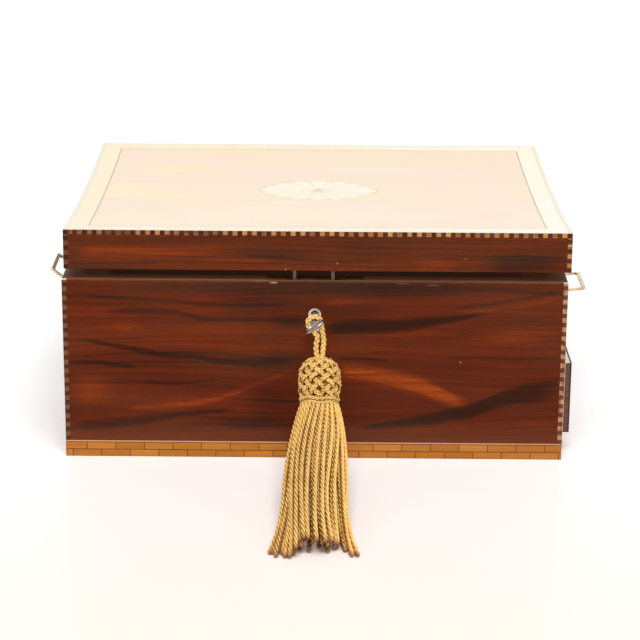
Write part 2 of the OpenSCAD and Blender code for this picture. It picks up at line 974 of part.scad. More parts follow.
// The section of the stringing along the front edge, and of a whole length of it
module front_string(from, to) {
    translate([from, 0, 0]) rotate([90, 0, 90]) linear_extrude(to - from)
        polygon([[-face_y, lid_top - string_w],
            [-edge_inner_y, dish_height(edge_inner_y) - string_w],
            [-edge_inner_y, dish_height(edge_inner_y)],
            [-face_y, lid_top]]);
}

module side_string_space() {
    intersection() {
        for (s = [-1, 1])
            block([s < 0 ? -face_x - past : face_x - string_w, -edge_inner_y, body_h],
                [s < 0 ? -face_x + string_w : face_x + past, edge_inner_y, lid_top + past]);
        dish(string_w + glue_t);
    }
}

module lid_string_space() {
    front_string(-face_x - past, face_x + past);
    mirror([0, 1, 0]) front_string(-face_x - past, face_x + past);
    side_string_space();
    corner_columns(lid_low - past, lid_top - string_w + 0.01);
}

module lid_blocks(first) {
    count_x = ceil(2 * face_x / block_len);
    for (i = [first : 2 : count_x - 1], s = [0, 1])
        mirror([0, s, 0])
            front_string(-face_x + i * block_len, min(-face_x + (i + 1) * block_len, face_x));
    count_y = floor(2 * edge_inner_y / block_len);
    step = 2 * edge_inner_y / count_y;
    for (i = [first : 2 : count_y - 1], s = [-1, 1]) {
        y = -edge_inner_y + (i + 0.5) * step;
        intersection() {
            translate([s * (face_x - string_w / 2), y, dish_height(y) - string_w / 2])
                rotate([asin(y / dish_r), 0, 0])
                    cube([string_w, step - 0.02, string_w], center = true);
            block([-face_x, -edge_inner_y, lid_low], [face_x, edge_inner_y, lid_top]);
        }
    }
    difference() {
        corner_blocks(lid_low, lid_top - string_w, first);
        for (s = [0, 1]) mirror([0, s, 0]) front_string(-face_x - past, face_x + past);
    }
}

module lid_string_dark() {
    color("black") lid_wood() lid_blocks(0);
}

module lid_string_light() {
    color("wheat") lid_wood() lid_blocks(1);
}

board_top_depth = veneer_t + glue_t;
board_low_depth = board_top_depth + top_board_t;

module rail_blank(plan) {
    color("saddlebrown") lid_wood() difference() {
        translate([0, 0, lid_low]) linear_extrude(lid_h) polygon(plan);
        dish(board_low_depth + glue_t);
        lid_string_space();
        lid_fittings_room();
    }
}

module lid_front_rail() {
    rail_blank([[-lid_core_x, -lid_core_y], [lid_core_x, -lid_core_y],
        [lid_inner_x, -lid_inner_y], [-lid_inner_x, -lid_inner_y]]);
}

module lid_back_rail() {
    rail_blank([[lid_core_x, lid_core_y], [-lid_core_x, lid_core_y],
        [-lid_inner_x, lid_inner_y], [lid_inner_x, lid_inner_y]]);
}

module lid_left_rail() {
    rail_blank([[-lid_core_x, lid_core_y], [-lid_core_x, -lid_core_y],
        [-lid_inner_x, -lid_inner_y], [-lid_inner_x, lid_inner_y]]);
}

module lid_right_rail() {
    rail_blank([[lid_core_x, -lid_core_y], [lid_core_x, lid_core_y],
        [lid_inner_x, lid_inner_y], [lid_inner_x, -lid_inner_y]]);
}

module lid_top_board() {
    color("saddlebrown") lid_wood() difference() {
        dished_layer(board_top_depth, board_low_depth)
            square([2 * lid_core_x, 2 * lid_core_y], center = true);
        lid_string_space();
    }
}

// Veneers on the lid's edges run up to the stringing
module lid_edge_sheet(low, high) {
    color("brown") lid_wood() difference() {
        block(low, high);
        dish(string_w + glue_t);
        lid_string_space();
        lid_fittings_room();
    }
}

module lid_front_veneer() {
    lid_edge_sheet([-face_x, -face_y, lid_low], [face_x, -lid_core_y, lid_top]);
}

module lid_back_veneer() {
    lid_edge_sheet([-face_x, lid_core_y, lid_low], [face_x, face_y, lid_top]);
}

module lid_left_veneer() {
    lid_edge_sheet([-face_x, -lid_core_y, lid_low], [-lid_core_x, lid_core_y, lid_top]);
}

module lid_right_veneer() {
    lid_edge_sheet([lid_core_x, -lid_core_y, lid_low], [face_x, lid_core_y, lid_top]);
}

band_out_x = face_x - string_w;
band_out_y = face_y - string_w;
band_in_x = band_out_x - crossband_w;
band_in_y = band_out_y - crossband_w;
field_x = band_in_x - dark_line_w;
field_y = band_in_y - dark_line_w;

// Plan of the strip between two rectangles
module frame_plan(out_x, out_y, in_x, in_y) {
    difference() {
        square([2 * out_x, 2 * out_y], center = true);
        square([2 * in_x, 2 * in_y], center = true);
    }
}

// Outline of the sunburst at a share of its size, with a point at each end
function sun_reach(angle) = 1 + sun_point / sun_half_w * pow(abs(cos(angle)), 24);
function sun_at(angle, share) = share * sun_reach(angle)
    * [sun_half_w * cos(angle), sun_half_d * sin(angle)];

module sun_outline(share) {
    polygon([for (i = [0 : 95]) sun_at(i * 3.75, share)]);
}

heart_share = 0.15;
petal_in_share = 0.165;
petal_end_share = 0.91;
petal_swell_share = 0.065;
petal_line = 0.5;

// One petal with a rounded outer end, between two rays
module petal(index) {
    middle = index * 360 / petal_count;
    steps = 6;
    line_angle = petal_line / sun_half_d * 180 / PI;
    half_out = 180 / petal_count - line_angle / 2;
    half_in = max(180 / petal_count - line_angle * 3, 1);
    inner = [for (i = [-1, 1]) sun_at(middle + i * half_in, petal_in_share)];
    outer = [for (i = [0 : steps])
        sun_at(middle + half_out * (1 - 2 * i / steps),
            petal_end_share + petal_swell_share * sin(180 * i / steps))];
    polygon(concat(inner, outer));
}

module petals_plan() {
    for (i = [0 : petal_count - 1]) petal(i);
    difference() {
        sun_outline(heart_share);
        star_plan();
    }
}

star_rise_share = 0.85;
star_waist_share = 0.22;

// Four pointed star, long to the sides
module star_plan() {
    polygon([for (i = [0 : 7]) let (point = i % 2 == 0)
        star_half * [(point ? 1 : star_waist_share) * cos(i * 45),
            (point ? star_rise_share : star_waist_share) * sin(i * 45)]]);
}

module lid_top_veneer() {
    color("chocolate") lid_wood() dished_layer(0, veneer_t) difference() {
        square([2 * field_x, 2 * field_y], center = true);
        sun_outline(1);
    }
}

module lid_crossbanding() {
    color("moccasin") lid_wood() dished_layer(0, veneer_t)
        frame_plan(band_out_x, band_out_y, band_in_x, band_in_y);
}

module lid_dark_inlay() {
    color("saddlebrown") lid_wood() dished_layer(0, veneer_t) {
        frame_plan(band_in_x, band_in_y, field_x, field_y);
        difference() {
            sun_outline(1);
            petals_plan();
        }
    }
}

module sunburst_petals() {
    color("cornsilk") lid_wood() dished_layer(0, veneer_t) petals_plan();
}

// Drawer, drawn as far open as it stands

drawer_face_x = face_x + drawer_open;
drawer_half = inner_y - drawer_gap;
drawer_back_x = -inner_x + drawer_back_gap + drawer_open;
drawer_front_x = drawer_face_x - veneer_t - drawer_front_t;
drawer_lap = drawer_front_t / 2;
pull_z = drawer_z + drawer_h / 2;

module drawer_side_pair() {
    for (s = [-1, 1])
        block([drawer_back_x, s < 0 ? -drawer_half : drawer_half - drawer_side_t, drawer_z],
            [drawer_front_x + drawer_lap, s < 0 ? -drawer_half + drawer_side_t : drawer_half,
                drawer_z + drawer_h - drawer_side_drop]);
}

module drawer_bottom_shape() {
    half = drawer_half - drawer_side_t + drawer_groove;
    block([drawer_back_x, -half, drawer_z + drawer_bottom_rise],
        [drawer_front_x + drawer_groove, half, drawer_z + drawer_bottom_rise + drawer_bottom_t]);
}

module pull_room() {
    translate([drawer_face_x, 0, pull_z]) rotate([0, -90, 0]) {
        cylinder(h = pull_plate_t, r = pull_plate_r, $fn = 64);
        cylinder(h = pull_cup_depth + pull_wall, r = pull_cup_r + pull_wall, $fn = 64);
    }
}

module drawer_front() {
    color("sienna") difference() {
        block([drawer_front_x, -drawer_half, drawer_z],
            [drawer_face_x - veneer_t, drawer_half, drawer_z + drawer_h]);
        drawer_side_pair();
        drawer_bottom_shape();
        pull_room();
    }
}

module drawer_front_veneer() {
    color("brown") difference() {
        block([drawer_face_x - veneer_t, -drawer_half, drawer_z],
            [drawer_face_x, drawer_half, drawer_z + drawer_h]);
        pull_room();
    }
}

module drawer_sides() {
    color("peru") difference() {
        drawer_side_pair();
        drawer_bottom_shape();
    }
}

module drawer_back() {
    half = drawer_half - drawer_side_t;
    color("peru") block([drawer_back_x, -half, drawer_z + drawer_bottom_rise + drawer_bottom_t],
        [drawer_back_x + drawer_side_t, half, drawer_z + drawer_h - 2 * drawer_side_drop]);
}

module drawer_bottom() {
    color("burlywood") drawer_bottom_shape();
}

// Flush ring pull in the drawer's front

pull_plate_t = 1.2;
pull_wall = 0.8;
pull_rim = 3;
pull_cup_r = pull_ring_r + pull_rim;
pull_pin_r = 0.6;
pull_barrel_r = 1.2;
pull_barrel_half = 1.4;
lug_r = 0.95;
lug_t = 1.2;
lug_gap = 0.3;
pull_wire_r = 0.8;
pull_pin_in = 1.6;
pull_pin_drop = 2.8;
pull_pin_x = drawer_face_x - pull_pin_in;
pull_pin_z = pull_z + pull_cup_r - pull_pin_drop;
pull_ring_z = pull_pin_z - pull_ring_r - 2 * pull_wire_r;

module drawer_pull_plate() {
    color("goldenrod") {
        translate([drawer_face_x, 0, pull_z]) rotate([0, -90, 0]) difference() {
            union() {
                cylinder(h = pull_plate_t, r = pull_plate_r, $fn = 64);
                cylinder(h = pull_cup_depth + pull_wall, r = pull_cup_r + pull_wall, $fn = 64);
            }
            translate([0, 0, -past])
                cylinder(h = pull_cup_depth + past, r = pull_cup_r, $fn = 64);
        }
        // Two round-nosed lugs on the cup's floor with the pin between them
        for (s = [-1, 1])
            translate([0, s * (pull_barrel_half + lug_gap + lug_t / 2), pull_pin_z]) {
                block([drawer_face_x - pull_cup_depth, -lug_t / 2, -lug_r],
                    [pull_pin_x, lug_t / 2, lug_r]);
                translate([pull_pin_x, lug_t / 2, 0]) rotate([90, 0, 0])
                    cylinder(h = lug_t, r = lug_r);
            }
        translate([pull_pin_x, pull_barrel_half + lug_t, pull_pin_z]) rotate([90, 0, 0])
            cylinder(h = 2 * (pull_barrel_half + lug_t), r = pull_pin_r);
    }
}

module drawer_pull_ring() {
    color("goldenrod") difference() {
        union() {
            translate([pull_pin_x, 0, pull_ring_z]) rotate([0, 90, 0])
                rotate_extrude($fn = 64) translate([pull_ring_r, 0]) circle(r = pull_wire_r, $fn = 24);
            translate([pull_pin_x, pull_barrel_half, pull_pin_z]) rotate([90, 0, 0])
                cylinder(h = 2 * pull_barrel_half, r = pull_barrel_r);
        }
        translate([pull_pin_x, pull_plate_r, pull_pin_z]) rotate([90, 0, 0])
            cylinder(h = 2 * pull_plate_r, r = pull_pin_r + pin_clear);
    }
}

// Swing handles on the two ends

post_len = 8;
post_shank_r = 1.2;
rose_t = 0.8;

module post_holes(side) {
    for (s = [-1, 1])
        translate([side * face_x, s * post_y, bail_z]) rotate([0, -90 * side, 0])
            cylinder(h = post_len, r = post_shank_r);
}

module handle_posts(side) {
    color("goldenrod") difference() {
        union() for (s = [-1, 1])
            translate([side * face_x, s * post_y, bail_z]) rotate([0, 90 * side, 0]) {
                cylinder(h = rose_t, r = rose_r);
                cylinder(h = bail_out + post_r, r = post_r);
                translate([0, 0, -post_len]) cylinder(h = post_len, r = post_shank_r);
            }
        translate([side * (face_x + bail_out), bail_half, bail_z]) rotate([90, 0, 0])
            cylinder(h = 2 * bail_half, r = stud_r + pin_clear);
    }
}

module left_handle_posts() {
    handle_posts(-1);
}

module right_handle_posts() {
    handle_posts(1);
}

bail_corner = 3;

module rounded_square(from, to, r) {
    translate([from[0] + r, from[1]]) square([to[0] - from[0] - 2 * r, to[1] - from[1]]);
    translate([from[0], from[1] + r]) square([to[0] - from[0], to[1] - from[1] - 2 * r]);
    for (x = [from[0] + r, to[0] - r], y = [from[1] + r, to[1] - r])
        translate([x, y]) circle(r);
}

// Handle with its arms along +X, turning about Y at the origin
module bail() {
    inner = bail_half - bail_wire_w;
    grip_in = bail_reach - bail_wire_w / 2;
    translate([0, 0, -bail_wire_t / 2]) linear_extrude(bail_wire_t) difference() {
        rounded_square([-bail_corner * 2, -bail_half], [bail_reach + bail_wire_w / 2, bail_half],
            bail_corner);
        rounded_square([-bail_corner * 4, -inner], [grip_in, inner], bail_corner - bail_wire_w / 2);
        translate([-bail_corner * 4 - bail_wire_w / 2, -bail_half - past])
            square([bail_corner * 4, 2 * bail_half + 2 * past]);
    }
    for (s = [-1, 1]) {
        translate([0, s * (bail_half - bail_wire_w / 2), 0]) rotate([90, 0, 0])
            cylinder(h = bail_wire_w, r = bail_wire_w / 2, center = true);
        translate([0, s * (inner + 0.2), 0]) rotate([90 * s, 0, 0])
            cylinder(h = inner + 0.2 - post_y + post_r + 0.5, r = stud_r);
    }
}

module left_bail() {
    color("goldenrod") translate([-face_x - bail_out, 0, bail_z])
        mirror([1, 0, 0]) rotate([0, -left_bail_angle, 0]) bail();
}

module right_bail() {
    color("goldenrod") translate([face_x + bail_out, 0, bail_z])
        rotate([0, -right_bail_angle, 0]) bail();
}

// Tassel

function unit(v) = v / norm(v);

// One ring of points round a point of a route
function tube_ring(route, i, r, sides) =
    let (along = unit(route[min(i + 1, len(route) - 1)] - route[max(i - 1, 0)]),
        across = unit(cross(along, [0, 1, 0])),
        up = cross(across, along))
    [for (k = [0 : sides - 1]) route[i] + r * (cos(360 * k / sides) * across
        + sin(360 * k / sides) * up)];

// A closed skin over rings of equal size, with a fan at each end
module ring_skin(rings) {
    sides = len(rings[0]);
    last = len(rings) - 1;
    points = [for (ring = rings) each ring];
    wall = [for (i = [0 : last - 1], k = [0 : sides - 1]) let (
            a = i * sides + k, b = i * sides + (k + 1) % sides) each
        [[a, b, b + sides], [a, b + sides, a + sides]]];
    foot = [for (k = [1 : sides - 2]) [0, k + 1, k]];
    head = [for (k = [1 : sides - 2]) [last * sides, last * sides + k, last * sides + k + 1]];
    polyhedron(points, concat(wall, foot, head));
}

module tassel_cord() {
    color("goldenrod") ring_skin([for (i = [0 : len(cord_route) - 1])
        tube_ring(cord_route, i, cord_d / 2, cord_sides)]);
}

// Netted head: shoulders, belly and the waist where the skirt is bound on
module tassel_head() {
    color("goldenrod") translate(head_top) rotate([180 - head_lean, 0, 0])
        rotate_extrude($fn = 48) polygon([[0, 0], [head_r * 0.4, 0], [head_r * 0.7, head_len * 0.07],
            [head_r * 0.89, head_len * 0.2], [head_r * 0.98, head_len * 0.36], [head_r, head_len * 0.5],
            [head_r * 0.96, head_len * 0.68], [head_r * 0.89, head_len * 0.85],
            [head_r * 0.85, head_len * 0.93], [head_r * 0.86, head_len], [0, head_len]]);
}

// Section of the skirt at t from 0 at the head to 1 at its ends on the floor
function skirt_section(t) =
    let (middle = skirt_top + (skirt_end - skirt_top) * t,
        half = skirt_top_half + (skirt_end_half - skirt_top_half) * t,
        start_rise = skirt_top_half * 0.95,
        rise = start_rise + (skirt_end_rise - start_rise) * t,
        lean = head_lean + (90 - head_lean) * pow(t, 0.7))
    [for (k = [0 : skirt_points - 1]) let (a = 360 * k / skirt_points)
        middle + [half * cos(a), -rise * sin(a) * cos(lean), rise * sin(a) * sin(lean)]];

module tassel_skirt() {
    color("goldenrod") ring_skin([for (i = [0 : skirt_rings])
        skirt_section(i / skirt_rings)]);
}

front_board();
back_board();
left_end_board();
right_end_upper_board();
right_end_lower_rail();
bottom_board();
drawer_divider();
drawer_runners();
front_veneer();
back_veneer();
left_end_veneer();
right_end_veneer();
base_bricks();
base_brick_lines();
corner_string_dark();
corner_string_light();
lock_case();
lock_cap();
lock_spring();
lock_screws();
escutcheon();
hinge_box_leaves();
hinge_pins();
hinge_box_screws();
left_handle_posts();
right_handle_posts();
lid_front_rail();
lid_back_rail();
lid_left_rail();
lid_right_rail();
lid_top_board();
lid_front_veneer();
lid_back_veneer();
lid_left_veneer();
lid_right_veneer();
lid_top_veneer();
lid_crossbanding();
lid_dark_inlay();
sunburst_petals();
lid_string_dark();
lid_string_light();
link_plate();
link_plate_screws();
hinge_lid_leaves();
hinge_lid_screws();
lock_bolt();
key();
left_bail();
right_bail();
drawer_front();
drawer_front_veneer();
drawer_sides();
drawer_back();
drawer_bottom();
drawer_pull_plate();
drawer_pull_ring();
tassel_cord();
tassel_head();
tassel_skirt();
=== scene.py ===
import math
import random

import bpy
from mathutils import Matrix, Vector


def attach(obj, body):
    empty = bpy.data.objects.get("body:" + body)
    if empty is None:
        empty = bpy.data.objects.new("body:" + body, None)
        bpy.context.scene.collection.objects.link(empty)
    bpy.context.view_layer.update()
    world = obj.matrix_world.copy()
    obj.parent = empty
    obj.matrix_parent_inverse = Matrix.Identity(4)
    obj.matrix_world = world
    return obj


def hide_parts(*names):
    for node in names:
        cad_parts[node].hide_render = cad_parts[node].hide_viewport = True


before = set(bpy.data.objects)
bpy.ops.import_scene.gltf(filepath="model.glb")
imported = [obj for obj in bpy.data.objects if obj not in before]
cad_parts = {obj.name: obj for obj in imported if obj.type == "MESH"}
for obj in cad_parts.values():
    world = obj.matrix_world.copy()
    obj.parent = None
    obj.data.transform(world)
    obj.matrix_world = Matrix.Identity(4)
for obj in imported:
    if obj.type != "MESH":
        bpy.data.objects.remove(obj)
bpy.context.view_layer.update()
mm = 0.001
chance = random.Random(1800)

# Camera: the box is photographed from in front and a little above with a long lens.
# Place, turn, tilt and roll were solved from its corners in the square picture.
picture_side = 640
focal_pixels = 2219.3
film_width = 36.0
camera_place = Vector((3.88, -1404.70, 498.94)) * mm
camera_turn = math.radians(-0.03)
camera_tilt = math.radians(17.775)
camera_roll = math.radians(0.458)

ahead = Vector((math.sin(camera_turn) * math.cos(camera_tilt),
                math.cos(camera_turn) * math.cos(camera_tilt), -math.sin(camera_tilt)))
level_side = Vector((math.cos(camera_turn), -math.sin(camera_turn), 0))
level_top = level_side.cross(ahead)
picture_right = level_side * math.cos(camera_roll) + level_top * math.sin(camera_roll)
picture_up = level_top * math.cos(camera_roll) - level_side * math.sin(camera_roll)

camera_data = bpy.data.cameras.new("camera")
camera_data.sensor_width = film_width
camera_data.lens = focal_pixels * film_width / picture_side
camera = bpy.data.objects.new("camera", camera_data)
bpy.context.scene.collection.objects.link(camera)
camera.matrix_world = (Matrix.Translation(camera_place)
                       @ Matrix((picture_right, picture_up, -ahead)).transposed().to_4x4())
bpy.context.scene.camera = camera
bpy.context.scene.view_settings.view_transform = "Standard"


def seen_at(across, down, axis, level):
    """The point that the picture shows at pixel (across, down), where axis 1 (y) or 2 (z) is level."""
    ray = (ahead * focal_pixels + picture_right * (across - picture_side / 2)
           - picture_up * (down - picture_side / 2))
    return camera_place + ray * ((level - camera_place[axis]) / ray[axis])


# Tassel's loop: a plaited cord of gilt silk, about 58 mm from where it leaves the tassel's
# head, up, over the shank of the key and back down into the head beside itself.
loop_route = [Vector(place) * mm for place in (
    (1.7, -151, 72.5), (1.4, -149.6, 75.2), (1.0, -148.2, 78), (1.2, -146.8, 81),
    (1.8, -145.6, 84), (0.9, -144.8, 86.2), (-1.4, -144.1, 88.3), (-3.4, -143.6, 90.6),
    (-3.9, -143.5, 92.8), (-3.4, -143.5, 94.8), (-1.9, -143.5, 96.2), (0, -143.5, 96.7),
    (1.9, -143.5, 96.2), (3.4, -143.5, 94.8), (3.9, -143.5, 92.8), (4.2, -143.6, 90.6),
    (4.7, -144.4, 87.6), (5.4, -145.6, 84), (5.5, -146.8, 81), (5.2, -148.2, 78),
    (4.9, -149.6, 75.2), (4.8, -151, 72.5))]
plait_pitch = 9.2 * mm
plait_width = 3.5 * mm
plait_wide = 0.28
plait_deep = 0.17


def smooth_line(corners, step):
    """Points about a step apart on a smooth curve through the corners."""
    fine = []
    last = len(corners) - 1
    for i in range(last):
        before = corners[max(i - 1, 0)]
        start = corners[i]
        end = corners[i + 1]
        after = corners[min(i + 2, last)]
        for part in range(12):
            t = part / 12
            fine.append(0.5 * (2 * start + (end - before) * t
                               + (2 * before - 5 * start + 4 * end - after) * t * t
                               + (3 * start - before - 3 * end + after) * t ** 3))
    fine.append(corners[-1])
    return even_line(fine, step)


def even_line(fine, step):
    """The same line with its points evenly apart."""
    travelled = [0.0]
    for i in range(1, len(fine)):
        travelled.append(travelled[-1] + (fine[i] - fine[i - 1]).length)
    count = max(int(round(travelled[-1] / step)), 2)
    line = []
    k = 0
    for i in range(count + 1):
        want = travelled[-1] * i / count
        while k < len(fine) - 2 and travelled[k + 1] < want:
            k += 1
        span = max(travelled[k + 1] - travelled[k], 1e-12)
        line.append(fine[k].lerp(fine[k + 1], min(max((want - travelled[k]) / span, 0), 1)))
    return line


def line_length(line):
    return sum((line[i + 1] - line[i]).length for i in range(len(line) - 1))


plies = 4
ply_apart = 0.60


def from_ply(angle):
    """The angle to the middle of the nearest ply."""
    return (angle + math.pi / plies) % (2 * math.pi / plies) - math.pi / plies


def ply_outline(angle):
    """How far the outline of four plies laid together reaches, as a share of their radius."""
    near = from_ply(angle)
    return ply_apart * math.cos(near) + math.sqrt(
        max((1 - ply_apart) ** 2 - (ply_apart * math.sin(near)) ** 2, 0))


def seen_share(radial, outwards):
    """Painted shade: 1 on the side of a strand that looks outwards, 0 where it meets its neighbours.
    """
    share = min(max((radial.dot(outwards) - 0.02) / 0.78, 0), 1)
    return share * share * (3 - 2 * share)


def new_heap():
    return {"points": [], "faces": [], "uv": [], "tone": [], "crest_shade": [], "tip": []}


def add_ring(heap, place, side, other, outline, turn, tone, crest_shades, tip):
    """One ring of points round a place, and what the silk's finish reads at each of them."""
    sides = len(outline)
    for k, reach in enumerate(outline):
        angle = 2 * math.pi * k / sides + turn
        heap["points"].append(place + (side * math.cos(angle) + other * math.sin(angle)) * reach)
    heap["tone"] += [tone] * sides
    heap["crest_shade"] += crest_shades
    heap["tip"] += [tip] * sides


def join_rings(heap, first, sides, lengths):
    """Faces between the rings laid since first, with a cap at each end."""
    last = len(lengths) - 1
    for i in range(last):
        low, high = lengths[i] / mm, lengths[i + 1] / mm
        for k in range(sides):
            a = first + i * sides + k
            b = first + i * sides + (k + 1) % sides
            heap["faces"].append((a, b, b + sides, a + sides))
            heap["uv"] += [(k / sides, low), ((k + 1) / sides, low),
                           ((k + 1) / sides, high), (k / sides, high)]
    heap["faces"].append(tuple(first + sides - 1 - k for k in range(sides)))
    heap["faces"].append(tuple(first + last * sides + k for k in range(sides)))
    heap["uv"] += [(0.5, 0.0)] * sides + [(0.5, lengths[-1] / mm)] * sides


def lay_strand(heap, line, outwards, radius, lay, sides, tone, turn, tip_length, looser=0.0):
    """Lays one twisted strand of four plies along the line, closed at both ends. Outwards is the way
    its seen side looks at each point; its grooves and hidden sides get painted shade. Its twist is
    looser by that share at the end of the line."""
    first = len(heap["points"])
    last = len(line) - 1
    total = line_length(line)
    angles = [2 * math.pi * k / sides for k in range(sides)]
    outline = [ply_outline(angle) for angle in angles]
    ridges = [max(math.cos(from_ply(angle) * plies / 2), 0) ** 1.7 for angle in angles]
    side = None
    lengths = [0.0]
    for i, place in enumerate(line):
        along = (line[min(i + 1, last)] - line[max(i - 1, 0)]).normalized()
        side = along.orthogonal() if side is None else side
        side = (side - along * side.dot(along)).normalized()
        if i:
            lengths.append(lengths[-1] + (place - line[i - 1]).length)
        tip = max(0.0, 1 - (total - lengths[-1]) / tip_length)
        swell = radius * (1 - 0.12 * tip) * (0.7 if i in (0, last) else 1.0)
        if i:
            turn -= (2 * math.pi * (lengths[-1] - lengths[-2])
                     / (lay * (1 + looser * lengths[-1] / total)))
        other = along.cross(side)
        out = (outwards[i] - along * outwards[i].dot(along)).normalized()
        # Painted shade in the grooves between the plies and on the sides that neighbours hide.
        crest_shades = [seen_share(side * math.cos(angle + turn) + other * math.sin(angle + turn), out)
                  * (0.06 + 0.94 * ridge) for angle, ridge in zip(angles, ridges)]
        add_ring(heap, place, side, other, [swell * reach for reach in outline], turn, tone,
                 crest_shades, tip)
    join_rings(heap, first, sides, lengths)


def lay_plait(heap, line, outwards, width, pitch, sides, tone, start=0.0):
    """Lays a flat plait of three strands along the line; outwards points away from what is
    under it at each point."""
    last = len(line) - 1
    round_radius = width * (0.5 - plait_wide)
    angles = [2 * math.pi * k / sides for k in range(sides)]
    for strand in range(3):
        first = len(heap["points"])
        path, lifts, outs = [], [], []
        travelled = 0.0
        for i, place in enumerate(line):
            along = (line[min(i + 1, last)] - line[max(i - 1, 0)]).normalized()
            out = (outwards[i] - along * outwards[i].dot(along)).normalized()
            travelled += (place - line[i - 1]).length if i else 0.0
            phase = start + 2 * math.pi * (travelled / pitch + strand / 3)
            lift = math.sin(2 * phase)
            path.append(place + along.cross(out) * (width * plait_wide * math.sin(phase))
                        + out * (width * plait_deep * lift))
            lifts.append(lift)
            outs.append(out)
        lengths = [0.0]
        side = None
        for i, place in enumerate(path):
            along = (path[min(i + 1, last)] - path[max(i - 1, 0)]).normalized()
            side = outwards[i] if side is None else side
            side = (side - along * side.dot(along)).normalized()
            if i:
                lengths.append(lengths[-1] + (place - path[i - 1]).length)
            other = along.cross(side)
            # Painted shade on the sides turned from outwards and where a strand dips under the others.
            crest_shades = [seen_share(side * math.cos(angle) + other * math.sin(angle), outs[i])
                      * (0.70 + 0.30 * lifts[i]) for angle in angles]
            add_ring(heap, place, side, other, [round_radius] * sides, 0.0, tone, crest_shades, 0.0)
        join_rings(heap, first, sides, lengths)


def strand_piece(name, heap, material):
    """One mesh from all the strands of a heap, with its UV map and what its finish reads."""
    mesh = bpy.data.meshes.new(name)
    mesh.from_pydata([tuple(point) for point in heap["points"]], [], heap["faces"])
    layer = mesh.uv_layers.new(name="strand")
    for loop, place in zip(layer.data, heap["uv"]):
        loop.uv = place
    for kind in ("tone", "crest_shade", "tip"):
        mesh.attributes.new(kind, "FLOAT", "POINT").data.foreach_set("value", heap[kind])
    mesh.polygons.foreach_set("use_smooth", [len(face) == 4 for face in heap["faces"]])
    mesh.materials.append(material)
    mesh.update()
    piece = bpy.data.objects.new(name, mesh)
    bpy.context.scene.collection.objects.link(piece)
    return piece


def make_node(tree, kind, inputs=None, **settings):
    """A shader node with its settings. Each input is a number, a colour or a socket to join."""
    made = tree.nodes.new("ShaderNode" + kind)
    for name, value in settings.items():
        setattr(made, name, value)
    for place, value in (inputs or {}).items():
        if isinstance(value, bpy.types.NodeSocket):
            tree.links.new(value, made.inputs[place])
        else:
            made.inputs[place].default_value = value
    return made


def maths(tree, operation, *terms, clamp=False):
    return make_node(tree, "Math", dict(enumerate(terms)), operation=operation,
                     use_clamp=clamp).outputs[0]


def eased(tree, value, low, high, low_to=0.0, high_to=1.0):
    """Value as it passes from low to high, eased at both ends."""
    return make_node(tree, "MapRange", {0: value, 1: low, 2: high, 3: low_to, 4: high_to},
                     interpolation_type="SMOOTHSTEP").outputs[0]


def mixed(tree, share, first, second, how="MIX"):
    return make_node(tree, "Mix", {0: share, 6: first, 7: second}, data_type="RGBA",
                     blend_type=how).outputs[2]


def clouds(tree, vector, scale, detail=2.0, roughness=0.5):
    return make_node(tree, "TexNoise", {"Vector": vector, "Scale": scale, "Detail": detail,
                                        "Roughness": roughness}).outputs[0]


def stretched(tree, vector, scale):
    return make_node(tree, "Mapping", {"Vector": vector, "Scale": scale}).outputs[0]


def tones(tree, value, *stops):
    """A colour for each value, from stops of (value, colour)."""
    made = make_node(tree, "ValToRGB", {0: value})
    marks = made.color_ramp.elements
    while len(marks) < len(stops):
        marks.new(0.5)
    for mark, (place, colour) in zip(marks, stops):
        mark.position = place
        mark.color = colour
    return made.outputs[0]


def raised(tree, height, strength, distance):
    return make_node(tree, "Bump", {"Height": height, "Strength": strength,
                                    "Distance": distance}).outputs[0]


def new_finish(name, **constants):
    """A material, its tree and its shader, with the shader's constant numbers set."""
    material = bpy.data.materials.new(name)
    material.use_nodes = True
    shader = material.node_tree.nodes["Principled BSDF"]
    for socket, value in constants.items():
        shader.inputs[socket.replace("_", " ")].default_value = value
    return material, material.node_tree, shader


def connect(tree, shader, **sockets):
    for name, value in sockets.items():
        tree.links.new(value, shader.inputs[name.replace("_", " ")])


silk_light = (1.0, 0.70, 0.23, 1)
silk_middle = (0.80, 0.375, 0.06, 1)
silk_deep = (0.23, 0.074, 0.0055, 1)
silk_tip = (0.34, 0.125, 0.028, 1)


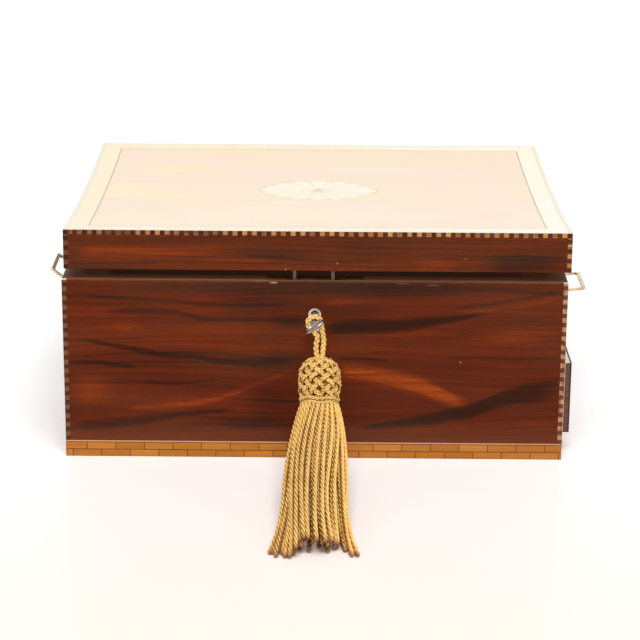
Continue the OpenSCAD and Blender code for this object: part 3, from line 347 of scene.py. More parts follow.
def silk_finish(name, depth):
    """Gilt silk: fine threads wound along each ply, each strand a little lighter or darker, partly at
    random and partly as painted shade, with painted shade in the grooves and where strands meet.
    """
    material, tree, shader = new_finish(name, Specular_IOR_Level=0.55, Sheen_Weight=0.12,
                                        Sheen_Roughness=0.4, Metallic=0.12)
    shader.inputs["Sheen Tint"].default_value = (1.0, 0.86, 0.5, 1)
    uv = make_node(tree, "UVMap", uv_map="strand").outputs[0]
    parts = make_node(tree, "SeparateXYZ", {0: uv}).outputs
    round_it, along_it = parts[0], parts[1]
    strand = make_node(tree, "Attribute", attribute_name="tone").outputs["Fac"]
    tip = make_node(tree, "Attribute", attribute_name="tip").outputs["Fac"]
    thread = maths(tree, "ADD", maths(tree, "MULTIPLY", round_it, 22.0),
                   maths(tree, "MULTIPLY", along_it, 1.15))
    ridge = maths(tree, "ABSOLUTE", maths(tree, "SINE", maths(tree, "MULTIPLY", thread, math.pi)))
    place = make_node(tree, "TexCoord").outputs["Object"]
    patches = clouds(tree, place, 160.0, 3.0)
    # The crest values are painted shade: darkest in the grooves, between strands and under crossings.
    crest_shade = make_node(tree, "Attribute", attribute_name="crest_shade").outputs["Fac"]
    lightness = maths(tree, "ADD", maths(tree, "MULTIPLY", crest_shade, 0.95),
                      maths(tree, "MULTIPLY", ridge, 0.06))
    lightness = maths(tree, "ADD", lightness, maths(tree, "MULTIPLY", strand, 0.18))
    lightness = maths(tree, "ADD", lightness, eased(tree, patches, 0.3, 0.7, -0.08, 0.08))
    colour = tones(tree, lightness, (0.1, silk_deep), (0.46, silk_middle),
                   (0.85, silk_light))
    colour = mixed(tree, maths(tree, "MULTIPLY", tip, depth), colour, silk_tip)
    roughness = eased(tree, ridge, 0.0, 1.0, 0.48, 0.32)
    connect(tree, shader, Base_Color=colour, Roughness=roughness,
            Normal=raised(tree, ridge, 0.55, 0.00018))
    return material


silk_cord = silk_finish("gilt silk cord", 0.8)

loop_line = smooth_line(loop_route, 0.42 * mm)
loop_heap = new_heap()
lay_plait(loop_heap, loop_line, [Vector((0, -1, 0.3))] * len(loop_line), plait_width,
          plait_pitch, 10, 0.0)
loop_cord = strand_piece("tassel_loop_cord", loop_heap, silk_cord)
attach(loop_cord, "carcase")
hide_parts("tassel_cord")

# Tassel's head: a wooden mould covered with a net of the same plaited cord, its bands woven
# over and under one another, with a binding of cord where the skirt is tied on.
head_top = Vector((3.3, -150.5, 73)) * mm
head_length = 27.6 * mm
head_radius = 12.9 * mm
head_lean = math.radians(40.6)
head_profile = [(0.20, 0.05), (0.44, 0.065), (0.70, 0.125), (0.90, 0.25), (0.99, 0.39),
                (1.0, 0.53), (0.97, 0.68), (0.92, 0.83), (0.88, 0.94)]
pulled_down = 0.12
net_width = 3.2 * mm
net_bands = 10
net_pitch = 6.4 * mm
net_lift = 0.95 * mm
net_step = 0.42 * mm

head_axis = Vector((0, -math.sin(head_lean), -math.cos(head_lean)))
head_face = Vector((0, -math.cos(head_lean), math.sin(head_lean)))


def on_head(radius, height, angle):
    """A point round the head's axis. Its front is pulled down a little."""
    height *= 1 + pulled_down * math.sin(angle)
    return (head_top + Vector((radius * math.cos(angle), 0, 0))
            + head_face * (radius * math.sin(angle)) + head_axis * height)


profile_line = smooth_line([Vector((r * head_radius - 1.7 * mm, 0, z * head_length))
                            for r, z in head_profile], net_step)
net_heap = new_heap()
for direction in (1, -1):
    for band in range(net_bands):
        wobble = [chance.uniform(0, 6) for _ in range(3)]
        line, outwards = [], []
        for i, place in enumerate(profile_line):
            arc = i * net_step
            w = arc / net_pitch
            spin = 2 * math.pi * (band + direction * w) / net_bands
            spin += 0.055 * math.sin(arc / (3.1 * mm) + wobble[0])
            lift = direction * net_lift * math.cos(2 * math.pi * w)
            lift += 0.35 * mm * math.sin(arc / (2.3 * mm) + wobble[1])
            line.append(on_head(place.x + lift, place.z, spin))
            outwards.append(line[-1] - on_head(0, place.z * 0.7 + 4 * mm, 0))
        lay_plait(net_heap, line, outwards, net_width, 7.4 * mm, 8, chance.uniform(-1.2, 0.0),
                  wobble[2])
for height, radius in ((0.955, 0.86), (1.03, 0.80)):
    turns = [2 * math.pi * k / 200 for k in range(201)]
    ring = [on_head(head_radius * radius, head_length * height + 0.4 * mm * math.sin(5 * a), a)
            for a in turns]
    lay_strand(net_heap, ring, [point - on_head(0, head_length * height, 0) for point in ring],
               1.25 * mm, 10 * mm, 16, 0.2, chance.uniform(0, 6), 2 * mm)
head_net = strand_piece("tassel_head_net", net_heap, silk_cord)
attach(head_net, "carcase")
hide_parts("tassel_head")

# The mould's dark colour is partly its own silk and partly painted shade in the holes of the net.
mould_shade_finish, mould_tree, mould_shader = new_finish("tassel mould silk", Specular_IOR_Level=0.2,
                                                    Roughness=0.8)
mould_clouds = clouds(mould_tree, make_node(mould_tree, "TexCoord").outputs["Object"], 900.0, 3.0)
connect(mould_tree, mould_shader,
        Base_Color=tones(mould_tree, mould_clouds, (0.3, (0.14, 0.05, 0.008, 1)),
                         (0.7, (0.40, 0.19, 0.04, 1))),
        Normal=raised(mould_tree, mould_clouds, 0.6, 0.0004))
bpy.ops.object.select_all(action="DESELECT")
bpy.ops.mesh.primitive_uv_sphere_add(segments=40, ring_count=20, radius=1)
head_mould = bpy.context.object
head_mould.name = "tassel_head_mould"
for vertex in head_mould.data.vertices:
    share = (1 - vertex.co.z) / 2
    ring = math.hypot(vertex.co.x, vertex.co.y)
    angle = math.atan2(vertex.co.y, vertex.co.x)
    reach = (head_radius - 2.4 * mm) * ring ** 0.6 * (1 - 0.14 * share ** 3)
    vertex.co = on_head(reach, (0.03 + share * 0.98) * head_length, angle)
for face in head_mould.data.polygons:
    face.use_smooth = True
bpy.ops.object.mode_set(mode="EDIT")
bpy.ops.mesh.select_all(action="SELECT")
bpy.ops.mesh.normals_make_consistent(inside=False)
bpy.ops.object.mode_set(mode="OBJECT")
head_mould.data.materials.append(mould_shade_finish)
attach(head_mould, "carcase")
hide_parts("tassel_head")

# Tassel's skirt: 58 hanging strands of bullion cord tied on under the head. They lie
# out towards the camera, the outer ones down on the table and the middle ones bridged over them.
strand_radius = 1.46 * mm
strand_lay = 12.4 * mm
looser = 0.4
waist_back = 1.5 * mm
skirt_end_y = -275 * mm
waist = head_top + head_axis * (head_length - waist_back)
waist_radius = 9.0 * mm
table_rest = 1.5 * mm
top_tips = [seen_at(across, down, 2, level * mm) for across, down, level in (
    (357.5, 556, 1.5), (352.5, 555, 1.5), (339, 544, 5), (331.5, 541, 8), (324.5, 542, 9.5),
    (317, 540, 10.5), (309.5, 538, 11), (302.5, 538, 11), (296, 547, 7), (289.5, 555, 2.5),
    (283, 557, 1.5), (276.5, 556, 1.5), (270, 553, 1.5))]


def hanging(start, tip, flare, tip_rise, sway, bow, step):
    """A strand's line: out of the binding along the head, down, and flat towards its tip. It
    bows out to the left by bow."""
    from_axis = start - waist
    first = start + head_axis * (25 * mm) + Vector((from_axis.x * 1.15, from_axis.y * 0.3,
                                                   from_axis.z * 0.3)) * flare
    reach = 0.66 if tip.x < 0 else 0.46
    second = Vector((waist.x * (1 - reach) + tip.x * reach, tip.y + 40 * mm, tip.z + tip_rise))
    fine = []
    for i in range(61):
        t = i / 60
        back = 1 - t
        place = (start * back ** 3 + first * (3 * back * back * t)
                 + second * (3 * back * t * t) + tip * t ** 3)
        loose = math.sin(math.pi * t) * t
        place.x -= bow * math.sin(math.pi * t)
        place.x += sway[0] * loose * math.sin(2 * math.pi * (t * sway[1] + sway[2]))
        place.z = max(place.z, table_rest)
        fine.append(place)
    return even_line(fine, step)


def hang_strand(heap, angle, share, tip, flare, tip_rise, tone, sides, step, bow=0.0):
    start = on_head(waist_radius * share, head_length - waist_back, angle)
    sway = (chance.uniform(0.5, 2.0) * mm, chance.uniform(0.6, 1.4), chance.random())
    line = hanging(start, tip, flare, tip_rise, sway, bow, step)
    outwards = []
    for place in line:
        run = min(max((waist.y - place.y) / (waist.y - skirt_end_y), 0), 1)
        half_wide = (10 + 15 * run) * mm
        outwards.append(Vector(((place.x - waist.x * (1 - run)) / half_wide, -0.35, 0.75)))
    lay_strand(heap, line, outwards, strand_radius, strand_lay * chance.uniform(0.94, 1.06), sides,
               tone + chance.uniform(-0.45, 0.45), chance.uniform(0, 6), 4 * mm, looser)


outer_heap = new_heap()
second_heap = new_heap()
under_heap = new_heap()
last_tip = len(top_tips) - 1
for k, tip in enumerate(top_tips):
    bow = 4.6 * mm * math.sin(math.pi * min(max((k - 2) / 9, 0), 1)) ** 0.7
    tip = tip + Vector((chance.uniform(-0.8, 0.8), chance.uniform(-1.6, 1.2), 0)) * mm
    # Painted light and shade: the top layer's tone falls from right to left, as if lit from the right.
    hang_strand(outer_heap, math.pi * (k + 0.5) / (last_tip + 1), 1.0, tip, 1.0,
                (9 + tip.z / mm) * mm, 0.95 - 0.05 * k, 16, 0.42 * mm, bow)
    if k < last_tip:
        between = (tip + top_tips[k + 1]) / 2
        for depth in (1.2, 3.6):
            low_tip = Vector((between.x + chance.uniform(-1, 1) * mm,
                              between.y + chance.uniform(1, 6) * mm,
                              max(between.z - depth * mm, table_rest)))
            # Painted shade: the second layer, under the top one, gets a darker tone.
            hang_strand(second_heap, math.pi * (k + 1) / (last_tip + 1), 1.0 - depth * 0.11,
                        low_tip, 0.9, (6 + low_tip.z / mm) * mm, 0.0, 16, 0.5 * mm,
                        bow * 0.8)
# Painted shade: the strands underneath get darker tones still.
for k in range(12):
    angle = -math.pi * (k + 0.5) / 12
    tip = Vector((0.7 * mm + 21 * mm * math.cos(angle) + chance.uniform(-1, 1) * mm,
                  -271 * mm + chance.uniform(-3, 4) * mm, table_rest))
    hang_strand(under_heap, angle, 1.0, tip, 0.8, 5 * mm, -0.7, 8, 0.6 * mm)
for k in range(9):
    angle = 2 * math.pi * (k + 0.5) / 9
    tip = Vector((0.7 * mm + 12 * mm * math.cos(angle) + chance.uniform(-1, 1) * mm,
                  -268 * mm + chance.uniform(-4, 4) * mm,
                  (4 + 1.5 * math.sin(angle)) * mm))
    hang_strand(under_heap, angle, 0.4, tip, 0.9, 8 * mm, -1.2, 8, 0.6 * mm)
for name, heap in (("tassel_skirt_outer", outer_heap), ("tassel_skirt_second", second_heap),
                   ("tassel_skirt_under", under_heap)):
    skirt = strand_piece(name, heap, silk_cord)
    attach(skirt, "carcase")
    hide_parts("tassel_skirt")

# Carcase: boards of plain straight-grained wood, oiled inside, dovetailed at the corners. They
# show in the gap under the lid, inside the box and round the drawer's opening.
def sawn_finish(name, order, dark, light, roughness, haze=0.0):
    """Plain wood with its grain along the first of the three letters in order. Haze is the
    little light that the bright surround throws on it in the picture, through the lens."""
    material, tree, shader = new_finish(name, Specular_IOR_Level=0.07,
                                        Emission_Color=(0.9, 0.38, 0.20, 1),
                                        Emission_Strength=haze)
    parts = make_node(tree, "SeparateXYZ", {0: make_node(tree, "TexCoord").outputs["Object"]})
    grain = make_node(tree, "CombineXYZ", {k: parts.outputs["xyz".index(letter)]
                                           for k, letter in enumerate(order)}).outputs[0]
    figure = make_node(tree, "Group", {"Vector": grain}, node_tree=wood_grain).outputs
    value = maths(tree, "ADD", maths(tree, "MULTIPLY", figure["Bands"], 0.45),
                  maths(tree, "MULTIPLY", figure["Streaks"], 0.4))
    value = maths(tree, "ADD", value, maths(tree, "MULTIPLY", figure["Fibre"], 0.15))
    colour = tones(tree, value, (0.3, dark), (0.7, light))
    colour = mixed(tree, maths(tree, "MULTIPLY", figure["Pores"], 0.55), colour,
                   (dark[0] * 0.35, dark[1] * 0.35, dark[2] * 0.35, 1))
    connect(tree, shader, Base_Color=colour,
            Roughness=eased(tree, figure["Streaks"], 0.2, 0.8, roughness + 0.1, roughness - 0.08),
            Normal=raised(tree, maths(tree, "SUBTRACT", figure["Fibre"], figure["Pores"]),
                          0.35, 0.0002))
    return material


def new_group(name, inputs, outputs):
    """A shader node group, with where its inputs come out and where its outputs go in."""
    group = bpy.data.node_groups.new(name, "ShaderNodeTree")
    for label, kind, value in inputs:
        socket = group.interface.new_socket(label, in_out="INPUT",
                                            socket_type="NodeSocket" + kind)
        if value is not None:
            socket.default_value = value
    for label, kind in outputs:
        group.interface.new_socket(label, in_out="OUTPUT", socket_type="NodeSocket" + kind)
    return group, group.nodes.new("NodeGroupInput").outputs, \
        group.nodes.new("NodeGroupOutput").inputs


wood_grain, grain_in, grain_out = new_group(
    "wood grain", [("Vector", "Vector", None)],
    [("Bands", "Float"), ("Streaks", "Float"), ("Lines", "Float"), ("Fibre", "Float"),
     ("Pores", "Float")])
grain_parts = make_node(wood_grain, "SeparateXYZ", {0: grain_in["Vector"]}).outputs
slow_wave = clouds(wood_grain, stretched(wood_grain, grain_in["Vector"], (5, 16, 9)), 1.0, 1.0)
quick_wave = clouds(wood_grain, stretched(wood_grain, grain_in["Vector"], (22, 60, 30)), 1.0, 1.0)
across_grain = maths(wood_grain, "ADD", grain_parts[1],
                     maths(wood_grain, "ADD", maths(wood_grain, "MULTIPLY", slow_wave, 0.022),
                           maths(wood_grain, "MULTIPLY", quick_wave, 0.0026)))
bent_grain = make_node(wood_grain, "CombineXYZ",
                       {0: grain_parts[0], 1: across_grain, 2: grain_parts[2]}).outputs[0]
line_zone = clouds(wood_grain, stretched(wood_grain, bent_grain, (6, 45, 5)), 1.0, 1.0)
thin_lines = maths(wood_grain, "MULTIPLY",
                   eased(wood_grain, clouds(wood_grain, stretched(
                       wood_grain, bent_grain, (3.2, 640, 60)), 1.0, 2.0), 0.52, 0.66),
                   eased(wood_grain, line_zone, 0.42, 0.6))
pores = clouds(wood_grain, stretched(wood_grain, bent_grain, (170, 4200, 900)), 1.0, 1.0)
for label, value in (
        ("Bands", clouds(wood_grain, stretched(wood_grain, bent_grain, (2.6, 95, 20)), 1.0, 2.0)),
        ("Streaks", clouds(wood_grain, stretched(wood_grain, bent_grain, (5.5, 400, 60)), 1.0, 3.0)),
        ("Lines", thin_lines),
        ("Fibre", clouds(wood_grain, stretched(wood_grain, bent_grain, (42, 2400, 500)), 1.0, 2.0)),
        ("Pores", eased(wood_grain, pores, 0.62, 0.7))):
    wood_grain.links.new(value, grain_out[label])


def finish_nodes(material, *names):
    for name in names:
        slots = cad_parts[name].material_slots
        if len(slots):
            for slot in slots:
                slot.material = material
        else:
            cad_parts[name].data.materials.append(material)


board_dark = (0.12, 0.048, 0.024, 1)
board_light = (0.27, 0.125, 0.066, 1)
board_lengthwise = sawn_finish("carcase boards", "xzy", board_dark, board_light, 0.5, 0.035)
board_endwise = sawn_finish("carcase end boards", "yzx", board_dark, board_light, 0.5, 0.03)
board_flat = sawn_finish("carcase bottom", "xyz", board_dark, board_light, 0.55, 0.02)
finish_nodes(board_lengthwise, "front_board", "back_board")
finish_nodes(board_endwise, "left_end_board", "right_end_upper_board", "right_end_lower_rail",
             "drawer_runners")
finish_nodes(board_flat, "bottom_board", "drawer_divider")

# Veneers: thin sheets of dark red-brown figured wood, glued to the boards and polished. The
# front has a flame of orange at its right and dark streaks that dip across its left half.
tone_patch, patch_in, patch_out = new_group(
    "tone patch", [("Value", "Float", 0.5), ("Vector", "Vector", None),
                   ("Centre", "Vector", None), ("Turn", "Vector", None),
                   ("Half Size", "Vector", None), ("Strength", "Float", 0.0)],
    [("Value", "Float")])
patch_flat = make_node(tone_patch, "VectorMath",
                       {0: patch_in["Vector"], 1: (1, 1, 0)}, operation="MULTIPLY").outputs[0]
patch_place = make_node(tone_patch, "Mapping",
                        {"Vector": patch_flat, "Location": patch_in["Centre"],
                         "Rotation": patch_in["Turn"], "Scale": patch_in["Half Size"]},
                        vector_type="TEXTURE").outputs[0]
patch_reach = make_node(tone_patch, "VectorMath", {0: patch_place},
                        operation="LENGTH").outputs["Value"]
patch_rags = clouds(tone_patch, stretched(tone_patch, patch_place, (0.8, 3.4, 1)), 1.0, 3.0, 0.6)
patch_reach = maths(tone_patch, "MULTIPLY_ADD", patch_rags, 1.0,
                    maths(tone_patch, "SUBTRACT", patch_reach, 0.5))
patch_mask = eased(tone_patch, patch_reach, 0.15, 1.15, 1.0, 0.0)
tone_patch.links.new(
    make_node(tone_patch, "Math", {0: patch_mask, 1: patch_in["Strength"], 2: patch_in["Value"]},
              operation="MULTIPLY_ADD").outputs[0], patch_out["Value"])

specks, speck_in, speck_out = new_group("specks and rubs", [("Vector", "Vector", None)],
                                        [("Specks", "Float"), ("Rubs", "Float")])
speck_cell = make_node(specks, "TexVoronoi", {"Vector": speck_in["Vector"], "Scale": 55.0})
speck_choice = make_node(specks, "SeparateColor", {0: speck_cell.outputs["Color"]}).outputs
speck_near = eased(specks, speck_cell.outputs["Distance"], 0.012, 0.03, 1.0, 0.0)
speck_few = eased(specks, speck_choice[0], 0.86, 0.88)
specks.links.new(maths(specks, "MULTIPLY", speck_near, speck_few), speck_out["Specks"])
rub_clouds = clouds(specks, stretched(specks, speck_in["Vector"], (9, 9, 22)), 1.0, 4.0, 0.6)
specks.links.new(eased(specks, rub_clouds, 0.42, 0.72), speck_out["Rubs"])

near_edge, edge_in, edge_out = new_group(
    "near an edge", [("Vector", "Vector", None), ("Centre", "Vector", None),
                     ("Half Size", "Vector", None), ("Width", "Float", 0.002)],
    [("Wear", "Float")])
from_centre = make_node(near_edge, "VectorMath",
                        {0: edge_in["Vector"], 1: edge_in["Centre"]}, operation="SUBTRACT")
from_centre = make_node(near_edge, "VectorMath", {0: from_centre.outputs[0]},
                        operation="ABSOLUTE")
to_faces = make_node(near_edge, "VectorMath", {0: edge_in["Half Size"],
                                               1: from_centre.outputs[0]}, operation="SUBTRACT")
face_gap = make_node(near_edge, "SeparateXYZ", {0: to_faces.outputs[0]}).outputs
second_gap = maths(near_edge, "MAXIMUM", maths(near_edge, "MINIMUM", face_gap[0], face_gap[1]),
                   maths(near_edge, "MINIMUM",
                         maths(near_edge, "MAXIMUM", face_gap[0], face_gap[1]), face_gap[2]))
edge_clouds = clouds(near_edge, edge_in["Vector"], 120.0, 3.0, 0.65)
ragged_gap = maths(near_edge, "ADD", second_gap,
                   maths(near_edge, "MULTIPLY", maths(near_edge, "SUBTRACT", edge_clouds, 0.4),
                         edge_in["Width"]))
near_edge.links.new(
    maths(near_edge, "SUBTRACT", 1.0,
          eased(near_edge, maths(near_edge, "DIVIDE", ragged_gap, edge_in["Width"]), 0.0, 0.6)),
    edge_out["Wear"])

front_face_y = -127 * mm
carcase_middle = (0, 0, 56.75 * mm)
carcase_half = (152.5 * mm, 127 * mm, 56.75 * mm)
lid_middle = (1.5 * mm, 0, 125.7 * mm)
lid_half = (152.5 * mm, 127 * mm, 15 * mm)
red_figure = ((0.0, (0.035, 0.0085, 0.0032, 1)), (0.22, (0.056, 0.0118, 0.0042, 1)),
              (0.5, (0.116, 0.0172, 0.0044, 1)), (0.72, (0.180, 0.0270, 0.0048, 1)),
              (0.9, (0.275, 0.0440, 0.0055, 1)), (1.0, (0.36, 0.070, 0.0075, 1)))
brown_figure = ((0.0, (0.039, 0.0155, 0.0082, 1)), (0.22, (0.062, 0.0195, 0.0090, 1)),
                (0.5, (0.120, 0.0245, 0.0068, 1)), (0.72, (0.185, 0.0325, 0.0058, 1)),
                (0.9, (0.265, 0.0460, 0.0060, 1)), (1.0, (0.34, 0.070, 0.0078, 1)))
# Colour of bloom in the polish, also used for the painted reflection of the table.
bloom = (0.19, 0.065, 0.036, 1)
pixel_wide = 0.606 * mm
pixel_high = 0.64 * mm


def lay_streak(tree, value, flat, points, strength):
    """A long streak of figure through points of (across, down, half width) in the picture's
    pixels, on the front face, with its fibres along it."""
    spots = [seen_at(across, down, 1, front_face_y) for across, down, _ in points]
    start, length = spots[0].x, spots[-1].x - spots[0].x
    low = min(spot.z for spot in spots)
    height = max(spot.z for spot in spots) - low
    widest = max(half for _, _, half in points)
    along = maths(tree, "DIVIDE", maths(tree, "SUBTRACT", flat["X"], start), length)
    middle = make_node(tree, "FloatCurve", {"Value": along})
    wide = make_node(tree, "FloatCurve", {"Value": along})
    for curve, levels in ((middle, [(spot.z - low) / height for spot in spots]),
                          (wide, [half / widest for _, _, half in points])):
        marks = curve.mapping.curves[0].points
        while len(marks) < len(points):
            marks.new(0.5, 0.5)
        for mark, spot, level in zip(marks, spots, levels):
            mark.location = ((spot.x - start) / length, level)
        curve.mapping.update()
    off = maths(tree, "SUBTRACT", flat["Z"],
                maths(tree, "MULTIPLY_ADD", middle.outputs[0], height, low))
    fibres = make_node(tree, "CombineXYZ", {0: maths(tree, "MULTIPLY", flat["X"], 12.0),
                                            1: maths(tree, "MULTIPLY", off, 420.0)}).outputs[0]
    rags = clouds(tree, fibres, 1.0, 3.0, 0.6)
    reach = maths(tree, "DIVIDE", maths(tree, "ABSOLUTE", off),
                  maths(tree, "MULTIPLY", wide.outputs[0], widest * pixel_high))
    reach = maths(tree, "MULTIPLY_ADD", rags, 1.1, maths(tree, "SUBTRACT", reach, 0.55))
    mask = maths(tree, "MULTIPLY", eased(tree, reach, 0.2, 1.1, 1.0, 0.0),
                 maths(tree, "MULTIPLY", eased(tree, along, 0.0, 0.12),
                       eased(tree, along, 0.85, 1.0, 1.0, 0.0)))
    return maths(tree, "MULTIPLY_ADD", mask, strength, value)


def figured_finish(name, order, middle, half, patches=(), streaks=(), wild=0.35, seed=0.0,
                   bloom_low=None, chips=()):
    """Figured veneer. Patches are (across, down, half across, half down, rise, strength) in the
    picture's pixels, on the front face, streaks are (strength, points) and chips (across, down,
    half across, half down, share); wild is how strongly broad clouds vary the tone."""
    material, tree, shader = new_finish(name, Specular_IOR_Level=0.06)
    place = make_node(tree, "TexCoord").outputs["Object"]
    parts = make_node(tree, "SeparateXYZ", {0: place}).outputs
    grain = make_node(tree, "CombineXYZ",
                      {k: parts["XYZ".index(letter.upper())] for k, letter in enumerate(order)})
    grain = make_node(tree, "VectorMath", {0: grain.outputs[0], 1: (seed, seed * 1.7, 0)}).outputs[0]
    figure = make_node(tree, "Group", {"Vector": grain}, node_tree=wood_grain).outputs
    broad = clouds(tree, stretched(tree, grain, (7, 24, 5)), 1.0, 2.0, 0.55)
    value = maths(tree, "MULTIPLY_ADD", figure["Bands"], 0.50, 0.5 - 0.25)
    value = maths(tree, "MULTIPLY_ADD", figure["Streaks"], 0.46,
                  maths(tree, "SUBTRACT", value, 0.23))
    value = maths(tree, "MULTIPLY_ADD", figure["Fibre"], 0.2, maths(tree, "SUBTRACT", value, 0.1))
    value = maths(tree, "MULTIPLY_ADD", figure["Lines"], -0.22, maths(tree, "ADD", value, 0.02))
    value = maths(tree, "MULTIPLY_ADD", broad, wild, maths(tree, "SUBTRACT", value, wild / 2))
    if patches:
        flat = make_node(tree, "CombineXYZ", {0: parts["X"], 1: parts["Z"]}).outputs[0]
        for across, down, half_across, half_down, rise, strength in patches:
            spot = seen_at(across, down, 1, front_face_y)
            value = make_node(tree, "Group", {
                "Value": value, "Vector": flat, "Centre": (spot.x, spot.z, 0),
                "Turn": (0, 0, math.radians(rise)),
                "Half Size": (half_across * pixel_wide, half_down * pixel_high, 1),
                "Strength": strength}, node_tree=tone_patch).outputs[0]
    for strength, points in streaks:
        value = lay_streak(tree, value, parts, points, strength)
    brownness = eased(tree, clouds(tree, stretched(tree, grain, (7, 30, 5)), 1.0, 2.0), 0.4, 0.6)
    colour = mixed(tree, brownness, tones(tree, value, *red_figure),
                   tones(tree, value, *brown_figure))
    marks = make_node(tree, "Group", {"Vector": place}, node_tree=specks).outputs
    colour = mixed(tree, maths(tree, "MULTIPLY", figure["Pores"], 0.5), colour,
                   (0.02, 0.007, 0.004, 1))
    # Real bloom in the polish where it is rubbed, and a painted reflection of the bright table along
    # the veneer's lowest band.
    bloom_share = maths(tree, "MULTIPLY", marks["Rubs"], 0.05)
    if bloom_low is not None:
        bloom_share = maths(tree, "ADD", bloom_share,
                            eased(tree, parts["Z"], bloom_low, bloom_low + 0.016, 0.26, 0.0))
    colour = mixed(tree, bloom_share, colour, bloom)
    wear = make_node(tree, "Group", {"Vector": place, "Centre": middle, "Half Size": half,
                                     "Width": 1.2 * mm}, node_tree=near_edge).outputs[0]
    colour = mixed(tree, maths(tree, "MULTIPLY", wear, 0.35), colour, (0.30, 0.13, 0.07, 1))
    colour = mixed(tree, marks["Specks"], colour, (0.62, 0.45, 0.33, 1))
    for across, down, half_across, half_down, share in chips:
        spot = seen_at(across, down, 1, front_face_y)
        off = make_node(tree, "VectorMath", {0: place, 1: tuple(spot)}, operation="SUBTRACT")
        off = make_node(tree, "VectorMath", {
            0: off.outputs[0], 1: (1 / (half_across * pixel_wide), 0,
                                   1 / (half_down * pixel_high))}, operation="MULTIPLY")
        off = make_node(tree, "VectorMath", {0: off.outputs[0]}, operation="LENGTH")
        off = maths(tree, "ADD", off.outputs["Value"],
                    maths(tree, "MULTIPLY_ADD", clouds(tree, place, 900.0, 3.0), 0.8, -0.4))
        colour = mixed(tree, eased(tree, off, 0.75, 1.15, share, 0.0), colour, (0.50, 0.27, 0.13, 1))
    height = maths(tree, "SUBTRACT", maths(tree, "MULTIPLY", figure["Fibre"], 0.5),
                   figure["Pores"])
    connect(tree, shader, Base_Color=colour,
            Roughness=eased(tree, marks["Rubs"], 0.0, 1.0, 0.27, 0.42),
            Normal=raised(tree, height, 0.12, 0.0001))
    return material


front_figure = (
    (315, 287, 300, 10, 0, -0.28), (395, 291, 92, 10, 0, -0.22), (268, 303, 66, 16, 0, -0.26),
    (125, 326, 26, 7, -4, 0.15), (275, 335, 36, 10, 0, -0.08), (293, 322, 22, 9, 0, -0.30),
    (215, 331, 52, 9, 0, 0.05), (180, 341, 60, 7, -6, 0.06), (90, 389, 30, 17, 4, 0.22),
    (150, 378, 72, 8, 3, -0.04), (205, 399, 62, 9, 9, 0.14), (282, 356, 26, 9, 0, -0.22),
    (250, 423, 44, 9, 0, -0.26), (272, 402, 28, 32, 0, -0.16), (350, 311, 46, 10, 0, -0.20),
    (525, 336, 60, 12, 3, 0.26), (415, 333, 50, 5, 1, 0.14), (400, 348, 56, 8, 0, -0.04),
    (505, 374, 48, 13, 4, 0.04), (340, 303, 26, 4, 0, 0.16), (440, 408, 40, 12, -4, -0.10),
    (537, 424, 30, 5, 0, 0.08), (330, 400, 40, 22, 0, -0.08), (73, 400, 14, 34, 0, -0.10))
front_streaks = (
    (-0.40, ((72, 337, 2.4), (104, 343.6, 2.8), (130, 348, 3.4), (148, 351.8, 4.2),
             (168, 355, 4.4), (193, 356, 4.0), (214, 359.4, 4.2), (235, 361, 4.8),
             (262, 362, 5.2), (305, 362, 4.2))),
    (-0.34, ((62, 365, 2.6), (90, 362, 3.0), (112, 364, 3.2), (140, 367.5, 2.2))),
    (-0.34, ((100, 314, 3.5), (123, 311, 4.5), (148, 311, 5.0), (174, 312, 4.0),
             (210, 319, 3.0), (260, 320, 3.4), (312, 322, 3.4))),
    (-0.22, ((66, 291, 2.0), (110, 297, 2.6), (160, 300, 3.0), (230, 305, 2.6), (300, 304, 2.6))),
    (-0.22, ((140, 377, 1.8), (168, 383, 2.2), (191, 382, 2.0), (225, 377, 1.6))),
    (0.20, ((118, 409, 3.0), (156, 406, 3.6), (205, 401, 4.0), (252, 386, 3.6), (300, 366, 3.0))),
    (-0.36, ((70, 425, 5.0), (100, 424, 6.4), (135, 421, 6.6), (160, 417, 5.4),
             (190, 413, 4.0), (240, 410, 3.0))),
    (-0.58, ((318, 329, 8.6), (358, 327, 9.4), (390, 326, 8.6), (420, 323, 7.0),
             (445, 320, 4.8), (490, 313, 3.0))),
    (-0.24, ((450, 309, 2.0), (500, 303, 3.0), (540, 296, 3.0), (563, 291, 2.2))),
    (0.14, ((455, 314, 2.4), (500, 309, 3.2), (540, 303, 3.2), (563, 297, 2.6))),
    (-0.36, ((335, 359, 1.6), (355, 358.6, 2.4), (372, 359.4, 2.0), (392, 362, 1.2))),
    (-0.14, ((440, 358, 1.6), (480, 358, 2.2), (520, 359, 2.2), (560, 358, 2.0))),
    (0.44, ((332, 370, 9.0), (353, 372, 11.0), (378, 376, 12.0), (402, 381, 12.0),
            (420, 386, 12.0), (436, 393, 11.0), (452, 400, 9.0), (474, 407, 5.0))),
    (-0.50, ((352, 430, 3.4), (378, 426, 4.8), (405, 423, 6.0), (430, 419.5, 7.4),
             (450, 415, 8.4), (471, 411, 9.6), (495, 402, 11.4), (515, 396, 13.0),
             (540, 392, 13.4), (568, 388, 13.0))))
lid_front_figure = (
    (145, 252, 92, 9, 0, 0.08), (100, 267, 40, 4, 0, -0.14), (272, 252, 60, 10, 0, -0.26),
    (370, 250, 66, 13, 0, -0.16), (435, 266, 28, 6, 3, 0.20), (72, 255, 14, 20, 0, -0.12),
    (515, 245, 50, 6, 3, 0.06), (525, 264, 48, 12, 2, -0.38))
